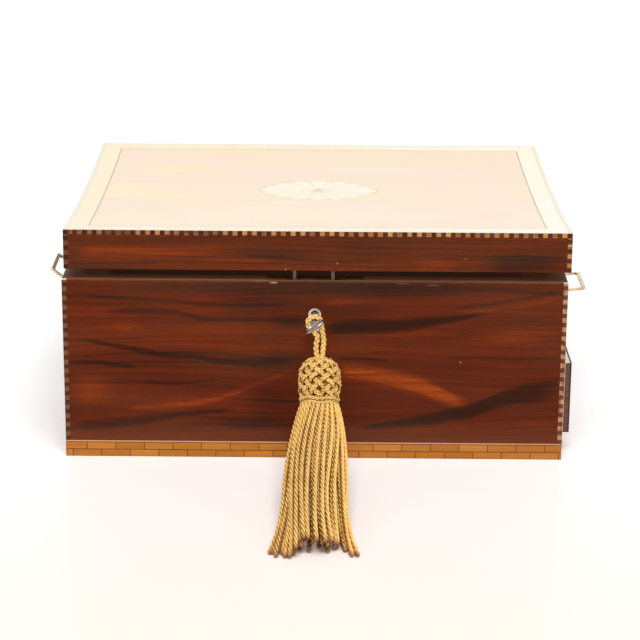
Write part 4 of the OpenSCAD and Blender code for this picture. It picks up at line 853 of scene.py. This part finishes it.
lid_front_streaks = (
    (0.14, ((70, 250, 4.0), (120, 252, 6.0), (180, 255, 5.0), (240, 259, 3.6), (290, 259, 2.0))),
    (-0.26, ((90, 254, 1.0), (140, 255, 1.4), (190, 256.5, 1.4), (230, 258, 1.0))),
    (-0.20, ((240, 256, 1.6), (280, 258, 2.4), (330, 262, 2.4), (385, 261, 1.6))),
    (0.14, ((150, 264, 1.6), (190, 262, 2.2), (230, 261, 2.4), (275, 262, 1.8))))
front_chips = ((273.6, 282.6, 4.2, 1.0, 0.7), (262, 281.0, 9, 0.5, 0.35),
               (433, 285.4, 7, 0.45, 0.25), (403, 283.8, 8, 0.4, 0.2))
lid_front_chips = ((465.7, 258.9, 1.5, 0.6, 0.3), (337.4, 263.6, 0.9, 0.7, 0.8),
                   (285.4, 269.4, 0.9, 0.7, 0.8))
finish_nodes(figured_finish("front veneer", "xzy", carcase_middle, carcase_half, front_figure,
                            front_streaks, 0.10, 0.0, 0.0105, front_chips), "front_veneer")
finish_nodes(figured_finish("back veneer", "xzy", carcase_middle, carcase_half, (), (), 0.7, 3.1,
                            0.0105), "back_veneer")
end_veneer = figured_finish("end veneer", "yzx", carcase_middle, carcase_half, (), (), 0.7, 5.3,
                            0.0105)
finish_nodes(end_veneer, "left_end_veneer", "right_end_veneer")
finish_nodes(figured_finish("drawer veneer", "yzx", carcase_middle, carcase_half, (), (), 0.7, 5.3),
             "drawer_front_veneer")

# Base banding: two rows of golden boxwood bricks let into the veneer all round, with dark red
# lines between them and a pale line above.
brick_pitch = 17.6 * mm
lower_joint = 10.1 * mm
upper_joint = 1.3 * mm
upper_row_low = 4.7 * mm
brick_finish, brick_tree, brick_shader = new_finish("boxwood bricks", Specular_IOR_Level=0.08)
brick_place = make_node(brick_tree, "TexCoord").outputs["Object"]
brick_xyz = make_node(brick_tree, "SeparateXYZ", {0: brick_place}).outputs
on_end = maths(brick_tree, "GREATER_THAN", maths(brick_tree, "ABSOLUTE", brick_xyz["X"]),
               151.4 * mm)
along_front = maths(brick_tree, "MULTIPLY", brick_xyz["X"], maths(
    brick_tree, "MULTIPLY", maths(brick_tree, "SIGN", brick_xyz["Y"]), -1.0))
along_end = maths(brick_tree, "MULTIPLY", brick_xyz["Y"], maths(brick_tree, "SIGN",
                                                               brick_xyz["X"]))
along_face = make_node(brick_tree, "Mix", {0: on_end, 2: along_front, 3: along_end}).outputs[0]
upper_row = maths(brick_tree, "GREATER_THAN", brick_xyz["Z"], upper_row_low)
joint_at = maths(brick_tree, "MULTIPLY_ADD", upper_row, upper_joint - lower_joint, lower_joint)
brick_number = maths(brick_tree, "FLOOR", maths(brick_tree, "DIVIDE", maths(
    brick_tree, "SUBTRACT", along_face, joint_at), brick_pitch))
brick_side = make_node(brick_tree, "CombineXYZ", {0: brick_number, 1: upper_row, 2: on_end})
brick_chance = make_node(brick_tree, "TexWhiteNoise", {"Vector": brick_side.outputs[0]}).outputs
brick_vector = make_node(brick_tree, "CombineXYZ", {
    0: along_face, 1: maths(brick_tree, "MULTIPLY_ADD", brick_chance["Value"], 0.4,
                            brick_xyz["Z"]), 2: upper_row})
brick_grain = make_node(brick_tree, "Group", {"Vector": brick_vector.outputs[0]},
                        node_tree=wood_grain).outputs
brick_value = maths(brick_tree, "MULTIPLY_ADD", brick_chance["Value"], 0.34, 0.10)
brick_value = maths(brick_tree, "MULTIPLY_ADD", brick_grain["Streaks"], 0.5, brick_value)
brick_value = maths(brick_tree, "MULTIPLY_ADD", brick_grain["Fibre"], 0.22, brick_value)
brick_colour = tones(brick_tree, brick_value, (0.15, (0.33, 0.105, 0.010, 1)),
                     (0.55, (0.47, 0.165, 0.022, 1)), (0.85, (0.59, 0.235, 0.040, 1)))
brick_colour = mixed(brick_tree, eased(brick_tree, brick_xyz["Z"], 9.1 * mm, 9.4 * mm),
                     brick_colour, (0.66, 0.36, 0.17, 1))
brick_marks = make_node(brick_tree, "Group", {"Vector": brick_place}, node_tree=specks).outputs
brick_colour = mixed(brick_tree, maths(brick_tree, "MULTIPLY", brick_marks["Rubs"], 0.25),
                     brick_colour, (0.34, 0.13, 0.035, 1))
brick_wear = make_node(brick_tree, "Group", {
    "Vector": brick_place, "Centre": carcase_middle, "Half Size": carcase_half,
    "Width": 1.5 * mm}, node_tree=near_edge).outputs[0]
brick_colour = mixed(brick_tree, maths(brick_tree, "MULTIPLY", brick_wear, 0.6), brick_colour,
                     (0.16, 0.06, 0.025, 1))
connect(brick_tree, brick_shader, Base_Color=brick_colour,
        Roughness=eased(brick_tree, brick_marks["Rubs"], 0.0, 1.0, 0.34, 0.5),
        Normal=raised(brick_tree, brick_grain["Fibre"], 0.15, 0.0001))
finish_nodes(brick_finish, "base_bricks")


def line_finish(name, dark, light, roughness, scale=260.0, faded=None):
    """Thin stained stringing, a little uneven in tone. Faded gives a mask of where it is pale."""
    material, tree, shader = new_finish(name, Specular_IOR_Level=0.25)
    place = make_node(tree, "TexCoord").outputs["Object"]
    fine = clouds(tree, place, scale, 4.0, 0.6)
    colour = tones(tree, fine, (0.32, dark), (0.68, light))
    if faded:
        colour = mixed(tree, faded(tree, place), colour, (0.86, 0.70, 0.46, 1))
    connect(tree, shader, Base_Color=colour,
            Roughness=eased(tree, fine, 0.3, 0.7, roughness + 0.1, roughness - 0.06),
            Normal=raised(tree, fine, 0.15, 0.0001))
    return material


finish_nodes(line_finish("dark red lines", (0.10, 0.022, 0.010, 1), (0.25, 0.055, 0.018, 1), 0.4),
             "base_brick_lines")

# Corner and edge stringing: dark and pale blocks in turn, set into the arrises of the carcase
# and the lid. Wear has darkened some pale blocks and rubbed the dark ones.
def block_finish(name, dark, middle, light):
    """One colour of blocks, darker towards the left and darkest at the left corners. Their upper faces
    are painted pale, a painted reflection of the glare on the lid's polished top."""
    material, tree, shader = new_finish(name, Specular_IOR_Level=0.08, Coat_Roughness=0.08,
                                        Coat_IOR=1.55)
    coordinates = make_node(tree, "TexCoord").outputs
    place = coordinates["Object"]
    cell = make_node(tree, "VectorMath", {0: place, 1: (2.9 * mm,) * 3}, operation="SNAP")
    luck = make_node(tree, "TexWhiteNoise", {"Vector": cell.outputs[0]}).outputs["Value"]
    fine = clouds(tree, place, 700.0, 3.0, 0.6)
    across = make_node(tree, "SeparateXYZ", {0: place}).outputs["X"]
    value = maths(tree, "MULTIPLY_ADD", luck, 0.55, maths(tree, "MULTIPLY", fine, 0.5))
    value = maths(tree, "ADD", value, eased(tree, across, -0.15, 0.05, -0.2, 0.05))
    value = maths(tree, "ADD", value, eased(tree, across, -0.1485, -0.1465, -0.45, 0.0))
    colour = tones(tree, value, (0.15, dark), (0.5, middle), (0.9, light))
    upward = eased(tree, make_node(tree, "SeparateXYZ", {0: coordinates["Normal"]}).outputs["Z"],
                   0.7, 0.9)
    # Painted reflection: upward faces are mixed towards the pale colour of the glare.
    colour = mixed(tree, maths(tree, "MULTIPLY", upward, 0.88), colour, (0.92, 0.80, 0.58, 1))
    connect(tree, shader, Base_Color=colour, Roughness=eased(tree, fine, 0.3, 0.7, 0.48, 0.34),
            Coat_Weight=upward, Normal=raised(tree, fine, 0.3, 0.00012))
    return material


finish_nodes(block_finish("dark corner blocks", (0.07, 0.026, 0.014, 1), (0.11, 0.043, 0.025, 1),
                          (0.16, 0.066, 0.040, 1)), "corner_string_dark")
finish_nodes(block_finish("pale corner blocks", (0.20, 0.082, 0.036, 1), (0.42, 0.18, 0.078, 1),
                          (0.60, 0.30, 0.14, 1)), "corner_string_light")
finish_nodes(block_finish("dark lid blocks", (0.045, 0.016, 0.008, 1), (0.075, 0.026, 0.012, 1),
                          (0.12, 0.046, 0.023, 1)), "lid_string_dark")
finish_nodes(block_finish("pale lid blocks", (0.16, 0.056, 0.022, 1), (0.44, 0.17, 0.052, 1),
                          (0.60, 0.29, 0.10, 1)), "lid_string_light")

# Lock: a brass case let into the front board, with a steel bolt and spring, and a raised rim of
# pale metal round the keyhole.
def metal_finish(name, clean, tarnished, roughness, spread=0.5, scale=180.0, painted_shade_part=None):
    """Old metal, bright where it is rubbed and brown where tarnish lies, finely scratched.
    Where the part given for shade gives 1, it is painted black: painted shade in a hollow."""
    material, tree, shader = new_finish(name, Metallic=1.0)
    place = make_node(tree, "TexCoord").outputs["Object"]
    bloomed = clouds(tree, place, scale, 5.0, 0.62)
    share = eased(tree, bloomed, 0.38, 0.68, 0.0, spread)
    colour = mixed(tree, share, clean, tarnished)
    if painted_shade_part:
        xyz = make_node(tree, "SeparateXYZ", {0: place}).outputs
        colour = mixed(tree, painted_shade_part(tree, xyz), colour, (0.012, 0.009, 0.005, 1))
    scratch = clouds(tree, stretched(tree, place, (3, 1, 9)), 900.0, 2.0)
    connect(tree, shader, Base_Color=colour,
            Roughness=maths(tree, "ADD", eased(tree, bloomed, 0.3, 0.7, roughness,
                                               roughness + 0.22),
                            maths(tree, "MULTIPLY", scratch, 0.08)),
            Normal=raised(tree, scratch, 0.12, 0.00008))
    return material


brass = metal_finish("old brass", (0.78, 0.56, 0.24, 1), (0.33, 0.19, 0.07, 1), 0.3)
lock_steel = metal_finish("lock steel", (0.42, 0.40, 0.38, 1), (0.16, 0.11, 0.08, 1), 0.32)
key_height = 92.8 * mm
keyhole_radius = 2.3 * mm


# Painted shade: the escutcheon is black inside the keyhole's bore.
def inside_keyhole(tree, xyz):
    beside = maths(tree, "POWER", xyz["X"], 2.0)
    above = maths(tree, "POWER", maths(tree, "SUBTRACT", xyz["Z"], key_height), 2.0)
    return eased(tree, maths(tree, "SQRT", maths(tree, "ADD", beside, above)), keyhole_radius,
                 keyhole_radius + 0.3 * mm, 1.0, 0.0)


rim_metal = metal_finish("keyhole rim", (1.0, 0.88, 0.79, 1), (0.80, 0.62, 0.48, 1), 0.34, 0.4,
                         180.0, inside_keyhole)
dull_brass = metal_finish("dull brass", (0.20, 0.14, 0.10, 1), (0.09, 0.06, 0.045, 1), 0.45)
finish_nodes(dull_brass, "link_plate", "link_plate_screws")
finish_nodes(brass, "lock_case", "lock_cap", "lock_screws", "hinge_box_leaves", "hinge_lid_leaves", "hinge_pins", "hinge_box_screws",
             "hinge_lid_screws")
finish_nodes(lock_steel, "lock_spring", "lock_bolt")
finish_nodes(rim_metal, "escutcheon")

# Handles: a thin brass bail at each end, swinging in two posts.
handle_brass = metal_finish("handle brass", (0.86, 0.72, 0.47, 1), (0.40, 0.26, 0.12, 1), 0.28, 0.55)
finish_nodes(handle_brass, "left_handle_posts", "right_handle_posts", "left_bail", "right_bail")

# Lid: a shallow box of rails and a dished top board, veneered like the carcase at its sides. The top
# is a paler pinkish tan wood, polished, inside a cream crossbanding; its pale tones are partly the
# wood's own and partly a painted reflection of the glare on the polish.
finish_nodes(sawn_finish("lid rails", "xzy", board_dark, board_light, 0.5), "lid_front_rail",
             "lid_back_rail")
finish_nodes(sawn_finish("lid end rails", "yzx", board_dark, board_light, 0.5), "lid_left_rail",
             "lid_right_rail")
finish_nodes(sawn_finish("lid top board", "xyz", board_dark, board_light, 0.5), "lid_top_board")
finish_nodes(figured_finish("lid front veneer", "xzy", lid_middle, lid_half, lid_front_figure,
                            lid_front_streaks, 0.10, 1.3, None, lid_front_chips),
             "lid_front_veneer")
finish_nodes(figured_finish("lid back veneer", "xzy", lid_middle, lid_half, (), (), 0.6, 4.4),
             "lid_back_veneer")
finish_nodes(figured_finish("lid end veneer", "yzx", lid_middle, lid_half, (), (), 0.6, 6.1),
             "lid_left_veneer", "lid_right_veneer")


lid_top_z = 140 * mm
lid_top_patches = (
    (185, 164, 70, 6, 0, -0.42), (130, 186, 60, 14, 0, -0.22), (150, 208, 80, 9, 0, 0.16),
    (292, 201, 28, 2.2, 0, -0.36), (280, 160, 60, 8, 0, -0.20), (400, 165, 90, 9, 0, 0.20),
    (400, 210, 110, 10, 0, 0.10), (240, 179, 60, 3, 0, 0.14), (480, 190, 60, 12, 0, 0.05))


def polished_finish(name, stops, streaks=0.4, crossed=False, shade=None, patches=()):
    """Pale wood under a clear hard polish. Patches are as the veneer's, on the lid's top."""
    material, tree, shader = new_finish(name, Specular_IOR_Level=0.3, Coat_Weight=1.0,
                                        Coat_Roughness=0.08, Coat_IOR=1.55)
    place = make_node(tree, "TexCoord").outputs["Object"]
    xyz = make_node(tree, "SeparateXYZ", {0: place}).outputs
    grain = place
    if crossed:
        to_end = maths(tree, "SUBTRACT", 154.0 * mm, maths(tree, "ABSOLUTE", xyz["X"]))
        to_long = maths(tree, "SUBTRACT", 127.0 * mm, maths(tree, "ABSOLUTE", xyz["Y"]))
        on_long = maths(tree, "GREATER_THAN", to_end, to_long)
        turned = make_node(tree, "CombineXYZ", {0: xyz["Y"], 1: xyz["X"], 2: xyz["Z"]})
        grain = make_node(tree, "Mix", {0: on_long, 4: place, 5: turned.outputs[0]},
                          data_type="VECTOR").outputs[1]
    figure = make_node(tree, "Group", {"Vector": grain}, node_tree=wood_grain).outputs
    broad = clouds(tree, stretched(tree, grain, (5, 26, 5)), 1.0, 3.0, 0.55)
    value = maths(tree, "MULTIPLY_ADD", figure["Streaks"], streaks,
                  maths(tree, "MULTIPLY", figure["Bands"], 0.35))
    value = maths(tree, "MULTIPLY_ADD", broad, 0.9 - streaks * 0.5,
                  maths(tree, "MULTIPLY_ADD", figure["Fibre"], 0.12, value))
    value = maths(tree, "MULTIPLY_ADD", value, 1.3, -0.66)
    for across, down, half_across, half_down, rise, strength in patches:
        spot = seen_at(across, down, 2, lid_top_z)
        value = make_node(tree, "Group", {
            "Value": value, "Vector": place, "Centre": (spot.x, spot.y, 0),
            "Turn": (0, 0, math.radians(rise)),
            "Half Size": (half_across * 0.66 * mm, half_down * 2.15 * mm, 1),
            "Strength": strength}, node_tree=tone_patch).outputs[0]
    colour = tones(tree, value, *stops)
    colour = mixed(tree, maths(tree, "MULTIPLY", figure["Pores"], 0.14), colour,
                   (0.45, 0.26, 0.14, 1))
    if shade:
        colour = shade(tree, place, xyz, colour)
    marks = make_node(tree, "Group", {"Vector": place}, node_tree=specks).outputs
    colour = mixed(tree, maths(tree, "MULTIPLY", marks["Specks"], 0.4), colour,
                   (0.35, 0.2, 0.12, 1))
    connect(tree, shader, Base_Color=colour,
            Roughness=eased(tree, marks["Rubs"], 0.0, 1.0, 0.3, 0.42),
            Normal=raised(tree, figure["Fibre"], 0.08, 0.0001))
    return material


# Pale tones: partly the wood's own, partly painted glare.
finish_nodes(polished_finish("lid top veneer",
                             ((0.02, (0.93, 0.70, 0.32, 1)), (0.28, (0.89, 0.64, 0.36, 1)),
                              (0.55, (0.88, 0.63, 0.42, 1)), (0.95, (0.92, 0.74, 0.50, 1))),
                             patches=lid_top_patches), "lid_top_veneer")


def yellow_to_white(tree, place, xyz, colour):
    """The crossbanding is yellowest at the left and whitest at the right."""
    colour = mixed(tree, eased(tree, xyz["X"], -0.15, 0.02, 0.4, 0.0), colour,
                   (0.96, 0.74, 0.34, 1))
    return mixed(tree, eased(tree, xyz["X"], -0.02, 0.15, 0.0, 0.55), colour,
                 (1.0, 0.95, 0.78, 1))


finish_nodes(polished_finish("crossbanding", ((0.1, (0.84, 0.66, 0.38, 1)),
                                              (0.5, (0.91, 0.76, 0.49, 1)),
                                              (0.9, (0.94, 0.83, 0.58, 1))), crossed=True,
                             shade=yellow_to_white), "lid_crossbanding")


def round_the_sun(tree, place):
    """The lines of the sunburst are thinner and paler than the one by the crossbanding."""
    middle_out = make_node(tree, "VectorMath", {0: place, 1: (1, 1, 0)}, operation="MULTIPLY")
    reach = make_node(tree, "VectorMath", {0: middle_out.outputs[0]}, operation="LENGTH")
    return eased(tree, reach.outputs["Value"], 45 * mm, 50 * mm, 0.8, 0.0)


finish_nodes(line_finish("brown inlay lines", (0.42, 0.25, 0.15, 1), (0.62, 0.42, 0.28, 1), 0.3,
                         260.0, round_the_sun),
             "lid_dark_inlay")

# Sunburst: an oval of sixteen petals of cream wood round a four-pointed star, each petal shaded
# brown along one side with hot sand before it was let in.
petal_count = 16
sun_half_wide = 37 * mm
sun_half_deep = 27.5 * mm
star_half_wide = 6.5 * mm
star_half_deep = 6.5 * mm


def sand_shading(tree, place, xyz, colour):
    angle = maths(tree, "ARCTAN2", maths(tree, "DIVIDE", xyz["Y"], sun_half_deep),
                  maths(tree, "DIVIDE", maths(tree, "SUBTRACT", xyz["X"], 1.5 * mm),
                        sun_half_wide))
    turn = maths(tree, "ADD", maths(tree, "DIVIDE", angle, 2 * math.pi / petal_count), 20.5)
    across_petal = maths(tree, "FRACT", turn)
    luck = make_node(tree, "TexWhiteNoise", {"W": maths(tree, "FLOOR", turn)},
                     noise_dimensions="1D").outputs["Value"]
    shade = eased(tree, across_petal, 0.45, 1.0, 0.0, 0.2)
    colour = mixed(tree, shade, colour, (0.68, 0.46, 0.24, 1))
    colour = mixed(tree, maths(tree, "MULTIPLY", luck, 0.25), colour, (0.82, 0.68, 0.44, 1))
    beside, before = [
        maths(tree, "POWER", maths(tree, "DIVIDE", maths(tree, "ABSOLUTE", off), reach), 0.75)
        for off, reach in ((maths(tree, "SUBTRACT", xyz["X"], 1.5 * mm), star_half_wide),
                           (xyz["Y"], star_half_deep))]
    star = eased(tree, maths(tree, "ADD", beside, before), 0.9, 1.1, 0.75, 0.0)
    return mixed(tree, star, colour, (0.58, 0.38, 0.19, 1))


finish_nodes(polished_finish("sunburst petals", ((0.1, (0.90, 0.80, 0.56, 1)),
                                                 (0.5, (0.96, 0.90, 0.68, 1)),
                                                 (0.9, (1.0, 0.97, 0.80, 1))),
                             shade=sand_shading), "sunburst_petals")

# Key: polished steel, its oval bow turned a little from level. The shank behind the bow is painted
# dark: painted shade in and near the keyhole.
shank_from = -144 * mm


# Painted shade along the shank from behind the bow into the keyhole.
def shank_shade_part(tree, xyz):
    return eased(tree, xyz["Y"], shank_from, shank_from + 3 * mm)


key_steel = metal_finish("key steel", (0.56, 0.50, 0.48, 1), (0.12, 0.085, 0.07, 1), 0.15, 0.75,
                         420.0, shank_shade_part)
finish_nodes(key_steel, "key")

# Drawer: plain reddish wood behind a veneered front in the right end, pulled out a little, with
# a flush ring pull of brass.
drawer_dark = (0.17, 0.070, 0.035, 1)
drawer_light = (0.36, 0.17, 0.088, 1)
drawer_wood = sawn_finish("drawer sides", "xzy", drawer_dark, drawer_light, 0.5)
finish_nodes(sawn_finish("drawer back", "yzx", drawer_dark, drawer_light, 0.5), "drawer_back")
highlight_lip_x = 154.2 * mm
front_wood, front_tree, front_shader = new_finish("drawer front wood", Specular_IOR_Level=0.3,
                                                  Coat_Weight=0.6, Coat_Roughness=0.15)
front_coordinates = make_node(front_tree, "TexCoord").outputs
front_xyz = make_node(front_tree, "SeparateXYZ", {0: front_coordinates["Object"]}).outputs
front_looks = make_node(front_tree, "SeparateXYZ", {0: front_coordinates["Normal"]}).outputs
# Painted highlight: the front's edge faces beyond the box's end are near white, the rest is dark wood.
lip_highlight = maths(front_tree, "MULTIPLY",
               maths(front_tree, "GREATER_THAN", front_xyz["X"], highlight_lip_x),
               maths(front_tree, "GREATER_THAN",
                     maths(front_tree, "ABSOLUTE", front_looks["Y"]), 0.5))
front_fibre = clouds(front_tree, stretched(front_tree, front_coordinates["Object"],
                                           (300, 30, 400)), 1.0, 3.0)
connect(front_tree, front_shader,
        Base_Color=mixed(front_tree, lip_highlight,
                         tones(front_tree, front_fibre, (0.3, (0.80, 0.60, 0.46, 1)),
                               (0.7, (0.96, 0.84, 0.74, 1))),
                         tones(front_tree, front_fibre, (0.3, (0.085, 0.030, 0.017, 1)),
                               (0.7, (0.17, 0.066, 0.040, 1)))),
        Roughness=eased(front_tree, front_fibre, 0.3, 0.7, 0.3, 0.45))
finish_nodes(front_wood, "drawer_front")
finish_nodes(drawer_wood, "drawer_sides", "drawer_bottom")
finish_nodes(handle_brass, "drawer_pull_plate", "drawer_pull_ring")

# Studio: a plain pale table that runs back to white, one broad soft lamp above and in front,
# and a plain white surround.
bpy.ops.object.select_all(action="DESELECT")
bpy.ops.mesh.primitive_plane_add(size=16.0, location=(0, 4.0, 0))
table = bpy.context.object
table.name = "studio_table"
bpy.ops.object.transform_apply(location=True, rotation=True, scale=True)
table_finish, table_tree, table_shader = new_finish("studio table", Roughness=0.42,
                                                    Specular_IOR_Level=0.4)
table_xyz = make_node(table_tree, "SeparateXYZ",
                      {0: make_node(table_tree, "TexCoord").outputs["Object"]}).outputs
warmth = eased(table_tree, table_xyz["Y"], -0.42, 0.05, 1.0, 0.0)
table_colour = mixed(table_tree, warmth, (0.90, 0.90, 0.90, 1), (0.90, 0.82, 0.77, 1))
table_glow = make_node(table_tree, "LightPath").outputs["Is Camera Ray"]
far_off = eased(table_tree, table_xyz["Y"], 0.3, 1.6)
glow_colour = mixed(table_tree, table_glow, (0, 0, 0, 1),
                    mixed(table_tree, far_off,
                          mixed(table_tree, warmth, (0.19, 0.19, 0.19, 1), (0.10, 0.06, 0.04, 1)),
                          (0.45, 0.45, 0.45, 1)))
connect(table_tree, table_shader, Base_Color=table_colour, Emission_Color=glow_colour)
table_shader.inputs["Emission Strength"].default_value = 1.0
table.data.materials.append(table_finish)

surround = bpy.data.worlds.new("studio surround")
bpy.context.scene.world = surround
surround.use_nodes = True
sky = surround.node_tree
seen_ray = make_node(sky, "LightPath").outputs
bright_ray = maths(sky, "MAXIMUM", seen_ray["Is Camera Ray"],
                   maths(sky, "MAXIMUM", seen_ray["Is Glossy Ray"],
                         seen_ray["Is Transmission Ray"]))
background = sky.nodes["Background"]
background.inputs["Color"].default_value = (1, 1, 1, 1)
sky.links.new(maths(sky, "MULTIPLY_ADD", bright_ray, 0.62, 0.38), background.inputs["Strength"])

lamp_far = 4.0
lamp_level = 0.89
lamp_height = math.radians(60)
lamp_aside = math.radians(5)
lamp_data = bpy.data.lights.new("soft lamp", "AREA")
lamp_data.shape = "DISK"
lamp_data.size = 2.3
lamp_data.energy = lamp_level * math.pi ** 2 * lamp_far ** 2
lamp = bpy.data.objects.new("soft lamp", lamp_data)
bpy.context.scene.collection.objects.link(lamp)
lamp_way = Vector((math.sin(lamp_aside) * math.cos(lamp_height),
                   -math.cos(lamp_aside) * math.cos(lamp_height), math.sin(lamp_height)))
lamp_aim = Vector((0, -0.05, 0.07))
lamp.matrix_world = (Matrix.Translation(lamp_aim + lamp_way * lamp_far)
                     @ lamp_way.to_track_quat("Z", "Y").to_matrix().to_4x4())
